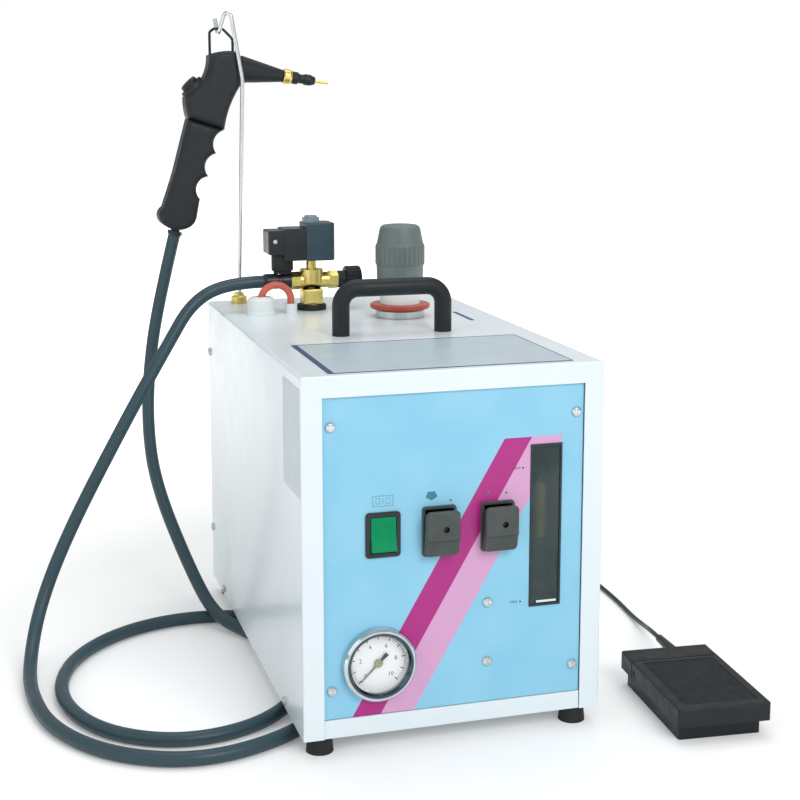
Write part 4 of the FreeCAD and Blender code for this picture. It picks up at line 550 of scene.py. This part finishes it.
def make_finishes(hose_hex):
    """Every finish of the object, each named for the real material and how it was made.

    The numbers of a solid one are its roughness, the size and depth of its grain, and the size
    and strength of its clouds.
    """
    made = FINISHES
    # Polyester powder coat on sheet steel: even, glossy, with a slight orange peel.
    made["powder_coat"] = surface("polyester_powder_coat", "#E2EEF3", 0.34, 1.6, 0.008, 60, 0.012,
                                  Coat_Weight=0.35, Coat_Roughness=0.14)
    made["overlay"] = printed_panel()
    # Zinc plated steel: pale, bright and slightly cloudy.
    made["zinc_plate"] = surface("zinc_plated_steel", "#C6CCCE", 0.34, 0.5, 0.01, 2.5, 0.06,
                                 Metallic=1.0)
    made["bezel_chrome"] = plated_bezel()
    made["needle_paint"] = painted_needle()
    # Drawn stainless wire and sheet: a soft satin shine.
    made["stainless"] = surface("drawn_stainless_steel", "#CBD0D1", 0.32, 0.9, 0.0005, 20, 0.03,
                                Metallic=1.0)
    # Blued spring wire: nearly black, with a dull shine.
    made["blued_wire"] = surface("blued_spring_wire", "#34383B", 0.38, 0.6, 0.003, 6, 0.08,
                                 Metallic=1.0)
    # Machined and forged brass: pale yellow, softly polished, with slight handling stains.
    made["brass"] = surface("machined_brass", "#D9C678", 0.36, 1.4, 0.0012, 9, 0.05, Metallic=1.0)
    # Drawn copper tube: warm red, dulled by handling.
    made["copper"] = surface("drawn_copper", "#B9714F", 0.32, 0.5, 0.008, 6, 0.1, Metallic=1.0)
    # Glass filled nylon, moulded: black, with a fine even texture.
    made["black_nylon"] = surface("moulded_black_nylon", "#1A1F23", 0.5, 0.6, 0.012, 24, 0.07,
                                  Specular_IOR_Level=0.34)
    # Black ABS, moulded against polished steel: smooth and fairly glossy.
    made["black_abs"] = surface("polished_black_abs", "#22272A", 0.34, 1.2, 0.004, 24, 0.05,
                                Specular_IOR_Level=0.36)
    # Epoxy moulded round the coil's winding: bluish black and slightly rough.
    made["coil_epoxy"] = surface("coil_moulding_epoxy", "#2B424B", 0.42, 0.7, 0.012, 9, 0.1,
                                 Specular_IOR_Level=0.4)
    made["grey_abs"] = lever_plastic()
    # Translucent green polycarbonate, dark behind while the lamp is off.
    made["green_lens"] = surface("green_polycarbonate", "#008A58", 0.42, 1.0, 0.003, 9, 0.06,
                                 Specular_IOR_Level=0.14)
    # Stoved enamel of the dial: clean white, without gloss.
    made["dial_enamel"] = surface("stoved_white_enamel", "#FBFDFE", 0.5, 0.9, 0.003, 12, 0.01)
    # Screen inks on the dial and the panel: flat and dense.
    made["black_ink"] = surface("black_screen_ink", "#202124", 0.5, 0.6, 0.003, 6, 0.05)
    made["teal_ink"] = surface("teal_screen_ink", "#3C7E90", 0.5, 0.6, 0.003, 6, 0.05)
    made["pale_ink"] = surface("pale_blue_screen_ink", "#6FA9BD", 0.5, 0.6, 0.003, 6, 0.05)
    made["blue_ink"] = surface("blue_screen_ink", "#2F4F8C", 0.5, 0.6, 0.003, 6, 0.05)
    made["gauge_glass"] = clear_glass("flat_gauge_glass", "#FBFDFD", 0.02, 0.07)
    made["sight_glass"] = clear_glass("borosilicate_tube", "#EAF2EA", 0.03, 0.4)
    made["smoked_acrylic"] = smoked_acrylic()
    made["window_tray"] = window_tray()
    # Polypropylene of the float: bright yellow and slightly waxy.
    made["float_yellow"] = surface("yellow_polypropylene", "#E2DC48", 0.4, 0.8, 0.004, 8, 0.08)
    # Glass filled polypropylene of the cap: mid grey, with an even matt skin.
    made["cap_grey"] = surface("grey_polypropylene", "#64716F", 0.46, 0.6, 0.01, 16, 0.05)
    # Turned natural nylon: milky, because light sinks a little way in.
    made["pale_nylon"] = surface("natural_nylon", "#E2E8E8", 0.4, 0.8, 0.005, 12, 0.02,
                                 Subsurface_Weight=0.1, Subsurface_Scale=0.002)
    # Moulded nylon of the coil's cap nut: pale grey, with a soft gloss.
    made["grey_nylon"] = surface("moulded_grey_nylon", "#7F949B", 0.4, 0.7, 0.006, 9, 0.06)
    # Red silicone sleeve, coloured a paler salmon as painted highlight, with a soft bloom.
    made["highlight_paled_silicone"] = surface("highlight_paled_silicone_sleeve", "#C9604F", 0.5, 0.7, 0.006, 9, 0.1,
                                     Sheen_Weight=0.15)
    # Moulded silicone rubber, red oxide filled: brick red, with a soft bloom.
    made["red_silicone"] = surface("red_silicone_rubber", "#AE3F27", 0.46, 0.7, 0.006, 9, 0.08,
                                   Sheen_Weight=0.15)
    # Vulcanised rubber: nearly black and matt.
    made["foot_rubber"] = surface("vulcanised_rubber", "#202325", 0.62, 0.8, 0.012, 10, 0.1,
                                  Specular_IOR_Level=0.35)
    # Extruded EPDM hose: slate blue, smooth, with faint drawing marks in its skin.
    made["hose_rubber"] = surface("extruded_epdm_hose", hose_hex, 0.42, 1.0, 0.006, 30, 0.05,
                                  Specular_IOR_Level=0.4)
    # Extruded PVC jacket: black and smooth, with a slight gloss.
    made["cable_pvc"] = surface("extruded_pvc_jacket", "#1E2225", 0.38, 0.9, 0.004, 18, 0.06,
                                Specular_IOR_Level=0.36)
    # Rolled stainless sheet of the boiler: grey, with soft cloudy reflections.
    made["boiler_steel"] = surface("rolled_stainless_sheet", "#B9BCBD", 0.36, 0.6, 0.012, 20, 0.1,
                                   Metallic=1.0)
    made["label_film"] = printed_plate()
    # Matt vinyl patch, a shade darker than the coat under it.
    made["patch_vinyl"] = surface("matt_vinyl_patch", "#D3DDE2", 0.55, 0.9, 0.003, 20, 0.015)


# The CAD nodes that stay in view, under the finish of each
CARRIED = {
    "powder_coat": ("base_tray", "cabinet_cover", "rear_panel"),
    "overlay": ("front_panel",),
    "zinc_plate": ("cabinet_screws",),
    "bezel_chrome": ("gauge_bezel",),
    "stainless": ("gauge_case", "holder_rod", "filler_neck", "valve_plunger", "heater"),
    "blued_wire": ("gun_loop",),
    "boiler_steel": ("boiler_tank",),
    "brass": ("valve_nipple", "valve_body", "holder_nut", "nozzle_core"),
    "copper": ("gauge_pipe",),
    "black_nylon": ("gun_head", "gun_grip", "gun_button", "gun_nozzle", "nozzle_tip",
                    "carry_handle", "pedal_base", "pedal_treadle", "flow_knob"),
    "window_tray": ("window_frame",),
    "black_abs": ("rocker_frame", "sight_fittings", "coil_plug", "hose_socket", "mains_inlet",
                  "pedal_gland", "gun_tail", "pedal_switch"),
    "coil_epoxy": ("valve_coil",),
    "grey_nylon": ("coil_nut",),
    "grey_abs": ("left_paddle", "left_paddle_frame", "right_paddle", "right_paddle_frame"),
    "green_lens": ("rocker_button",),
    "dial_enamel": ("gauge_dial",),
    "needle_paint": ("gauge_needle",),
    "gauge_glass": ("gauge_glass",),
    "sight_glass": ("sight_tube",),
    "float_yellow": ("level_float",),
    "cap_grey": ("filler_cap",),
    "pale_nylon": ("cap_collar", "lead_boot"),
    "red_silicone": ("cap_gasket",),
    "highlight_paled_silicone": ("sleeved_lead",),
    "foot_rubber": ("rubber_feet",),
    "cable_pvc": ("cable_relief",),
}


def finish_carried_nodes():
    """Gives the CAD nodes that stay in view their finishes."""
    for finish, names in CARRIED.items():
        for name in names:
            coat(NODES[name], finish)


# Routes, repeated from the part's source

TAIL_SLOPE = Vector((-0.25, 0.0, -0.968)).normalized()
TAIL_START = Vector((-141.0, 191.0, 343.0))
TAIL_LENGTH = 5
TAIL_END = TAIL_START + TAIL_SLOPE * TAIL_LENGTH
HOSE_PORT = (-74.8, 118.0, 302.0)
HOSE_DOWN = [(-106.8, 118, 302), (-139, 112.5, 287.5), (-163, 101, 252), (-200, 88, 194),
             (-252, 76, 104), (-279, 66, 44), (-291, 24, 9)]
HOSE_ON_BENCH = [(-292, -36), (-280, -102), (-242, -158), (-184, -184), (-120, -164),
                 (-72, -118), (-44, -64), (-38, -4), (-55, 54), (-98, 94), (-152, 106),
                 (-208, 88), (-252, 42), (-271, -18), (-265, -76), (-238, -124), (-190, -150),
                 (-134, -138), (-94, -94), (-80, -44), (-85, 6), (-105, 52)]
HOSE_LYING = 5.9
HOSE_UP = [(-129, 90, 10.5), (-147, 124, 50), (-170, 153, 118), (-174, 168, 172),
           (-168, 184, 228)]
HOSE_STRAIGHT = 58
HOSE_POINTS = [HOSE_PORT, *HOSE_DOWN, *((*place, HOSE_LYING) for place in HOSE_ON_BENCH),
               *HOSE_UP, tuple(TAIL_END + TAIL_SLOPE * HOSE_STRAIGHT), tuple(TAIL_END)]

PEDAL_MIDDLE = (193.2, -188.1)
PEDAL_TURN = math.radians(-4.5)


def pedal_spot(across, back, up):
    """A point given in the foot pedal's own directions."""
    side = across * math.cos(PEDAL_TURN) - back * math.sin(PEDAL_TURN)
    ahead = across * math.sin(PEDAL_TURN) + back * math.cos(PEDAL_TURN)
    return (PEDAL_MIDDLE[0] + side, PEDAL_MIDDLE[1] + ahead, up)


# The cable's way out of its strain relief, in the pedal's directions
CABLE_EXIT = (13.0, 59.5, 18.0)
CABLE_STRAIGHT = 59.0
CABLE_DOWN = (228, -34, 7)
CABLE_LYING = 2.3
CABLE_ALONG = [(234, 6), (238, 42), (240, 86), (240, 132), (236, 178), (221, 228)]
CABLE_TO_GLAND = [(90, 278, 11), (72, 258, 26), (62, 236, 46), (62, 222, 52), (62, 205.5, 52)]

# The put-away coil: turns inwards on the bench, and as many outwards a layer higher
COIL_MIDDLE = (150.0, 258.0)
COIL_RADIUS = 24.0
COIL_TURNS = 3
COIL_PITCH = 5.4
COIL_LAYER = 4.6
COIL_LEAD_IN = 38
COIL_LEAD_OUT = 26
COIL_OUTER = COIL_RADIUS + COIL_PITCH * COIL_TURNS / 2
COIL_INNER = COIL_OUTER - COIL_PITCH * COIL_TURNS


def coil_points(step_degrees=20):
    """The put-away turns: in along the bench, up one layer and out again on top."""
    inward = 360 * COIL_TURNS
    points = []
    for angle in range(0, 2 * inward + 1, step_degrees):
        if angle <= inward:
            radius, up = COIL_OUTER - COIL_PITCH * angle / 360, CABLE_LYING
        elif angle <= inward + 180:
            part = (angle - inward) / 180
            radius, up = COIL_INNER, CABLE_LYING + COIL_LAYER * (1 - math.cos(math.pi * part)) / 2
        else:
            radius = COIL_INNER + COIL_PITCH * (angle - inward - 180) / 360
            up = CABLE_LYING + COIL_LAYER
        # The spline cuts inside its points, so they stand a little further out.
        radius /= math.cos(math.radians(step_degrees) / 2) ** 0.5
        turn = math.radians(90 + angle)
        points.append((COIL_MIDDLE[0] + radius * math.cos(turn),
                       COIL_MIDDLE[1] + radius * math.sin(turn), up))
    return points


def cable_points():
    """The pedal's cable from its strain relief, through the coil, to the rear gland."""
    across, back, up = CABLE_EXIT
    turns = coil_points()
    first, last = turns[0], turns[-1]
    return [pedal_spot(across, back, up), pedal_spot(across, back + CABLE_STRAIGHT, up),
            CABLE_DOWN, *((*place, CABLE_LYING) for place in CABLE_ALONG),
            (first[0] + COIL_LEAD_IN, first[1], CABLE_LYING), *turns,
            (last[0] - COIL_LEAD_OUT, last[1], last[2]), *CABLE_TO_GLAND]


# What a user may change


class CleanerColours(bpy.types.PropertyGroup):
    """Colours that a user may change."""
    hose: bpy.props.StringProperty(name="Hose", description="Colour of the steam hose",
                                   default="#2F4750")


class CleanerSizes(bpy.types.PropertyGroup):
    """Sizes that a user may change."""
    hose_radius: bpy.props.FloatProperty(
        name="Hose radius", description="Outer radius of the steam hose", default=0.0055,
        min=0.004, max=0.008, precision=4, subtype="DISTANCE")
    cable_radius: bpy.props.FloatProperty(
        name="Cable radius", description="Outer radius of the pedal's cable", default=0.002,
        min=0.001, max=0.003, precision=4, subtype="DISTANCE")


# Pieces


class CLEANER_OT_finishes(bpy.types.Operator):
    """Makes every finish and gives the carried-over CAD nodes theirs"""
    bl_idname = "cleaner.finishes"
    bl_label = "Finishes"

    def execute(self, context):
        make_finishes(context.scene.cleaner_colours.hose)
        finish_carried_nodes()
        return {"FINISHED"}


def run_of(item):
    """The points that a curve follows and its length, in metres."""
    bevel = item.data.bevel_depth
    item.data.bevel_depth = 0.0
    graph = bpy.context.evaluated_depsgraph_get()
    graph.update()
    mesh = bpy.data.meshes.new_from_object(item.evaluated_get(graph))
    item.data.bevel_depth = bevel
    points = [item.matrix_world @ vertex.co for vertex in mesh.vertices]
    bpy.data.meshes.remove(mesh)
    return points, sum((b - a).length for a, b in zip(points, points[1:]))


class CLEANER_OT_hose(bpy.types.Operator):
    """Lays the steam hose from the valve to the gun"""
    bl_idname = "cleaner.hose"
    bl_label = "Steam hose"

    def execute(self, context):
        radius = context.scene.cleaner_sizes.hose_radius
        curve = wire_curve("steam_hose_line", HOSE_POINTS, radius, resolution=14, bevel=7)
        path, length = run_of(curve)
        hose = named(as_mesh(curve), "hose", "hose_rubber", smooth=40)
        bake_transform(hose)
        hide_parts("steam_hose")
        return {"FINISHED"}


class CLEANER_OT_cable(bpy.types.Operator):
    """Lays the pedal's cable, with its put-away turns behind the cabinet"""
    bl_idname = "cleaner.cable"
    bl_label = "Pedal cable"

    def execute(self, context):
        radius = context.scene.cleaner_sizes.cable_radius
        points = cable_points()
        cable = wire_curve("cable", points, radius, resolution=6, bevel=4)
        _, length = run_of(cable)
        dress(cable, "cable", "cabinet", "cable_pvc",
              ("cable_run", "cable_coil", "cable_end"), smooth=None)
        return {"FINISHED"}


# The return spring, which stands this far back from the pedal's middle
SPRING_BACK = -24
SPRING_RADIUS = 6.0
SPRING_WIRE = 0.7
SPRING_TURNS = 4
SPRING_STEP = 20
SPRING_LOW, SPRING_HIGH = 3.5, 22.9


class CLEANER_OT_spring(bpy.types.Operator):
    """Winds the return spring under the treadle"""
    bl_idname = "cleaner.spring"
    bl_label = "Return spring"

    def execute(self, context):
        across, back, _ = pedal_spot(0, SPRING_BACK, 0)
        steps = 360 // SPRING_STEP * SPRING_TURNS
        points = []
        for step in range(steps + 1):
            angle = math.radians(SPRING_STEP * step)
            points.append((across + SPRING_RADIUS * math.cos(angle),
                           back + SPRING_RADIUS * math.sin(angle),
                           SPRING_LOW + (SPRING_HIGH - SPRING_LOW) * step / steps))
        wire = wire_curve("spring_line", points, SPRING_WIRE * MM, resolution=3, bevel=3)
        spring = named(as_mesh(wire), "return_spring", "stainless", smooth=50)
        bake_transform(spring)
        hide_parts("pedal_spring")
        return {"FINISHED"}


class CLEANER_OT_window(bpy.types.Operator):
    """Closes the level window with its smoked pane and prints its two level marks"""
    bl_idname = "cleaner.window"
    bl_label = "Level window"

    def execute(self, context):
        across, up = WINDOW_MIDDLE
        pane = bevelled_block(20.8, 1.2, 117.8, 0.3, 2)
        settle(pane, place=spot(across, PANEL_FACE + 0.4, up))
        dress(pane, "window_pane", "cabinet", "smoked_acrylic")
        # The ledge is real; its pale colour is a painted highlight for the light line along the
        # window's bottom edge.
        ledge = bevelled_block(15.5, 0.5, 1.7, 0.2, 2)
        settle(ledge, place=spot(70.0, PANEL_FACE - 0.5, 99.9))
        dress(ledge, "window_ledge", "cabinet", "pale_nylon")
        marks = []
        for words, place in (("MAX", (47.5, 201.0)), ("MIN", (46.6, 101.0))):
            word = lettering(words, 2.0, INK)
            arrow = polygon(3, 1.1, INK, -90)
            for item, shift in ((word, -1.6), (arrow, 3.4)):
                settle(item, FACE_FRONT, spot(place[0] + shift, PANEL_FACE, place[1]))
                marks.append(item)
        dress(joined(marks), "level_marks", "cabinet", "black_ink", smooth=None)
        return {"FINISHED"}


# The dial's strokes, and how far each kind and the numbers stand from the middle
DIAL_DEPTH = 0.8
DIAL_STEPS = 50
LONG_EVERY = 5
NUMBER_EVERY = 10
LONG_REACH = 19.0
SHORT_REACH = 19.8
NUMBER_REACH = 13.2


class CLEANER_OT_dial(bpy.types.Operator):
    """Prints the gauge's scale: long and short strokes round it and plain numbers"""
    bl_idname = "cleaner.dial"
    bl_label = "Gauge dial"

    def execute(self, context):
        long_stroke = plate(3.2, 0.7, INK, 0)
        short_stroke = plate(1.7, 0.36, INK, 0)
        marks = []
        for step in range(DIAL_STEPS + 1):
            angle = math.radians(SCALE_START - SCALE_SWEEP * step / DIAL_STEPS)
            stroke, reach = ((long_stroke, LONG_REACH) if step % LONG_EVERY == 0
                             else (short_stroke, SHORT_REACH))
            marks.append(copy_of(stroke, Matrix.Rotation(angle, 4, "Z")
                                 @ Matrix.Translation((reach * MM, 0, 0))))
            if step % NUMBER_EVERY == 0:
                number = lettering(str(step // LONG_EVERY), 3.0, INK)
                outwards = Vector((math.cos(angle), math.sin(angle), 0))
                number.data.transform(Matrix.Translation(outwards * NUMBER_REACH * MM))
                marks.append(number)
        for item in (long_stroke, short_stroke):
            bpy.data.objects.remove(item)
        across, up = GAUGE_MIDDLE
        dial = settle(joined(marks), FACE_FRONT, spot(across, PANEL_FACE + DIAL_DEPTH, up))
        dress(dial, "dial_scale", "cabinet", "black_ink", smooth=None)
        return {"FINISHED"}


class CLEANER_OT_panel_marks(bpy.types.Operator):
    """Prints the plain signs above the switches"""
    bl_idname = "cleaner.panel_marks"
    bl_label = "Panel signs"

    def execute(self, context):
        across, up = SWITCH_SIGN_MIDDLE
        signs = [settle(outline(15.6, 8.0, 0.7, INK), FACE_FRONT, spot(across, PANEL_FACE, up)),
                 settle(plate(0.7, 4.4, INK, 0), FACE_FRONT, spot(across, PANEL_FACE, up))]
        for shift in (-3.6, 3.6):
            signs.append(settle(outline(3.6, 4.4, 0.6, INK), FACE_FRONT,
                                spot(across + shift, PANEL_FACE, up)))
        dress(joined(signs), "switch_sign", "cabinet", "pale_ink", smooth=None)
        gem = settle(polygon(5, 4.6, INK, 180, 0.78), FACE_FRONT,
                     spot(-18.0, PANEL_FACE, 185.9))
        dots = [settle(polygon(20, 0.9, INK), FACE_FRONT, spot(x, PANEL_FACE, z))
                for x, z in ((-3.7, 181.4), (24.5, 184.6), (38.2, 183.6))]
        dress(joined([gem] + dots), "lever_signs", "cabinet", "teal_ink", smooth=None)
        return {"FINISHED"}


class CLEANER_OT_labels(bpy.types.Operator):
    """Sticks the bare label on the top and the bare patch on the left wall"""
    bl_idname = "cleaner.labels"
    bl_label = "Bare labels"

    def execute(self, context):
        label = plate(LABEL_SIZE[0], LABEL_SIZE[1], 0.3, 1.5)
        settle(label, place=spot(LABEL_MIDDLE[0], LABEL_MIDDLE[1], COVER_TOP))
        dress(label, "top_label", "cabinet", "label_film")
        strip = plate(3.4, 50.0, 0.2, 0.6)
        settle(strip, place=spot(84.0, 40.0, COVER_TOP))
        dress(strip, "top_strip", "cabinet", "blue_ink")
        patch = plate(54.0, 77.5, 0.25, 2.0)
        settle(patch, FACE_LEFT, spot(-112.5, -163.0, 228.7))
        dress(patch, "side_patch", "cabinet", "patch_vinyl")
        return {"FINISHED"}


class CLEANER_OT_valve(bpy.types.Operator):
    """Adds the valve's washer and square, and the connector's screw and cable boot"""
    bl_idname = "cleaner.valve"
    bl_label = "Valve details"

    def execute(self, context):
        across, back = VALVE_MIDDLE
        washer = turned([(8.65, 0.05), (12.9, 0.05), (13.3, 0.6), (13.3, 4.0), (12.8, 4.6),
                         (8.65, 4.6), (8.65, 0.05)])
        settle(washer, place=spot(across, back, COVER_TOP))
        dress(washer, "valve_washer", "cabinet", "foot_rubber")
        square = bevelled_block(17.5, 17.5, 13.6, 0.9)
        settle(square, place=spot(across, back, 287.9))
        dress(square, "nipple_square", "cabinet", "brass")
        boot = turned([(4.0, 326.4), (9.3, 326.4), (9.6, 325.6), (9.6, 312.4), (9.0, 311.4),
                       (7.9, 310.6), (7.7, 309.0), (4.0, 309.0), (4.0, 326.4)])
        settle(boot, place=spot(-58.0, back, 0))
        dress(boot, "connector_boot", "cabinet", "foot_rubber")
        screw = turned([(0.01, 1.1), (1.3, 1.0), (1.9, 0.5), (2.0, 0.0), (2.0, -0.6),
                        (0.01, -0.6)], 24)
        settle(screw, FACE_FRONT, spot(-66.5, 105.0, 338.0))
        dress(screw, "connector_screw", "cabinet", "zinc_plate")
        return {"FINISHED"}


# The tread mat, with its front edge from the pedal's middle
MAT_FRONT = -51.0
MAT_THICK = 0.2
MAT_TOP = 26.62
RIB_DEEP = 1.3
RIB_PITCH = 2.02
RIB_COUNT = 40


class CLEANER_OT_tread(bpy.types.Operator):
    """Lays the finely ribbed rubber mat in the treadle's sunk top"""
    bl_idname = "cleaner.tread"
    bl_label = "Tread mat"

    def execute(self, context):
        rib = bevelled_block(57.4, RIB_DEEP, 0.5, 0.18, 2)
        add_modifier(rib, "ARRAY", count=RIB_COUNT, use_relative_offset=False,
                     use_constant_offset=True,
                     constant_offset_displace=(0, RIB_PITCH * MM, 0))
        rib.data.transform(Matrix.Translation((0, (MAT_FRONT + RIB_DEEP / 2) * MM, 0)))
        sheet = plate(57.8, 81.6, MAT_THICK, 1.2)
        sheet.data.transform(Matrix.Translation((0, -10.5 * MM, -MAT_THICK * MM)))
        mat = joined([rib, sheet])
        turn = Matrix.Rotation(PEDAL_TURN, 3, "Z")
        settle(mat, turn, spot(PEDAL_MIDDLE[0], PEDAL_MIDDLE[1], MAT_TOP))
        dress(mat, "tread_mat", "treadle", "black_nylon")
        return {"FINISHED"}


class CLEANER_OT_stage(bpy.types.Operator):
    """Sets the floor, the light and the camera"""
    bl_idname = "cleaner.stage"
    bl_label = "Stage"

    def execute(self, context):
        make_floor()
        make_light()
        make_camera()
        return {"FINISHED"}


# The floor's own glow for the camera grows with the distance from the object, in metres.
FLOOR_NEAR = 0.4
FLOOR_FAR = 1.3
FLOOR_LIFT = 0.16

# The world's strength as light, and each lamp's name, place, size, power and aim in metres
SKY_LEVEL = 0.56
LAMPS = (("key_softbox", (0.5, -2.2, 1.7), 1.2, 29.0, (0, 0, 0.25)),
         ("fill_softbox", (-2.0, -0.9, 1.2), 1.6, 7.0, (0, 0, 0.2)),
         ("top_softbox", (0.1, 0.4, 2.4), 1.5, 15.0, (0, 0, 0.2)))

# The camera's place, how far it looks down and to the right, and its lens
CAMERA_PLACE = (-327.7, -1157.8, 468.5)
CAMERA_DOWN = 9.19
CAMERA_RIGHT = 16.5
CAMERA_LENS = 66.795
CAMERA_SHIFT = -0.0875


def make_floor():
    """A plain pale floor that keeps the object's shadow and turns white further out."""
    deselect_all()
    bpy.ops.mesh.primitive_plane_add(size=14, location=(0, 0, 0))
    floor = bpy.context.object
    floor.name = "floor"
    made, tree, shader, place = start_material(
        "matt_white_bench", Base_Color=linear("#F0F1F1"), Roughness=0.9,
        Specular_IOR_Level=0.1, Emission_Color=(1, 1, 1, 1))
    far = add(tree, "VectorMath", {0: place}, operation="LENGTH").outputs["Value"]
    glow = add(tree, "MapRange", {"Value": far, "From Min": FLOOR_NEAR, "From Max": FLOOR_FAR,
                                  "To Min": FLOOR_LIFT, "To Max": 1.0}).outputs["Result"]
    seen = add(tree, "Math", {0: straight_rays(tree), 1: glow}, operation="MULTIPLY")
    feed(tree, shader, Emission_Strength=seen.outputs[0])
    floor.data.materials.append(made)


def straight_rays(tree):
    """One for a ray from the camera, off a mirror or through glass, and zero for the rest."""
    ray = add(tree, "LightPath")
    seen = add(tree, "Math", {0: ray.outputs["Is Camera Ray"], 1: ray.outputs["Is Glossy Ray"]},
               operation="MAXIMUM").outputs[0]
    return add(tree, "Math", {0: seen, 1: ray.outputs["Is Transmission Ray"]},
               operation="MAXIMUM").outputs[0]


def make_light():
    """A plain world, white to the camera, and the soft lamps."""
    world = bpy.data.worlds.new("studio")
    bpy.context.scene.world = world
    world.use_nodes = True
    tree = world.node_tree
    tree.nodes.clear()
    ray = add(tree, "LightPath")
    near_white = add(tree, "Math", {0: ray.outputs["Is Camera Ray"],
                                    1: ray.outputs["Is Transmission Ray"]}, operation="MAXIMUM")
    strength = add(tree, "MapRange", {"Value": near_white.outputs[0], "To Min": SKY_LEVEL,
                                      "To Max": 1.0})
    sky = add(tree, "Background", {"Color": (1, 1, 1, 1),
                                   "Strength": strength.outputs["Result"]})
    out = add(tree, "OutputWorld")
    tree.links.new(sky.outputs[0], out.inputs["Surface"])
    for name, place, size, power, aim in LAMPS:
        lamp = bpy.data.lights.new(name, "AREA")
        lamp.shape = "SQUARE"
        lamp.size = size
        lamp.energy = power
        item = bpy.data.objects.new(name, lamp)
        bpy.context.scene.collection.objects.link(item)
        item.location = place
        direction = Vector(aim) - Vector(place)
        item.rotation_euler = direction.to_track_quat("-Z", "Y").to_euler()


def make_camera():
    """The photograph's point of view."""
    data = bpy.data.cameras.new("photo_camera")
    data.sensor_width = 36.0
    data.lens = CAMERA_LENS
    data.shift_y = CAMERA_SHIFT
    data.clip_start = 0.05
    data.clip_end = 50.0
    camera = bpy.data.objects.new("photo_camera", data)
    bpy.context.scene.collection.objects.link(camera)
    camera.location = spot(*CAMERA_PLACE)
    camera.rotation_euler = (math.radians(90 - CAMERA_DOWN), 0, math.radians(-CAMERA_RIGHT))
    bpy.context.scene.camera = camera
    bpy.context.scene.view_settings.view_transform = "Standard"


class CLEANER_PT_sidebar(bpy.types.Panel):
    """Lists the pieces in the 3D view's sidebar"""
    bl_idname = "CLEANER_PT_sidebar"
    bl_label = "Steam Cleaner"
    bl_space_type = "VIEW_3D"
    bl_region_type = "UI"
    bl_category = "Steam Cleaner"

    def draw(self, context):
        scene = context.scene
        self.layout.prop(scene.cleaner_colours, "hose")
        for name in ("hose_radius", "cable_radius"):
            self.layout.prop(scene.cleaner_sizes, name)
        for operator in OPERATORS:
            self.layout.operator(operator.bl_idname)


OPERATORS = (CLEANER_OT_finishes, CLEANER_OT_hose, CLEANER_OT_cable, CLEANER_OT_spring,
             CLEANER_OT_window, CLEANER_OT_dial, CLEANER_OT_panel_marks, CLEANER_OT_labels,
             CLEANER_OT_valve, CLEANER_OT_tread, CLEANER_OT_stage)
CLASSES = (CleanerColours, CleanerSizes, *OPERATORS, CLEANER_PT_sidebar)


def register():
    for kind in CLASSES:
        bpy.utils.register_class(kind)
    bpy.types.Scene.cleaner_sizes = bpy.props.PointerProperty(type=CleanerSizes)
    bpy.types.Scene.cleaner_colours = bpy.props.PointerProperty(type=CleanerColours)


def unregister():
    del bpy.types.Scene.cleaner_colours
    del bpy.types.Scene.cleaner_sizes
    for kind in reversed(CLASSES):
        bpy.utils.unregister_class(kind)


def main():
    register()
    for operator in OPERATORS:
        group, name = operator.bl_idname.split(".")
        getattr(getattr(bpy.ops, group), name)()


if __name__ == "__main__":
    main()
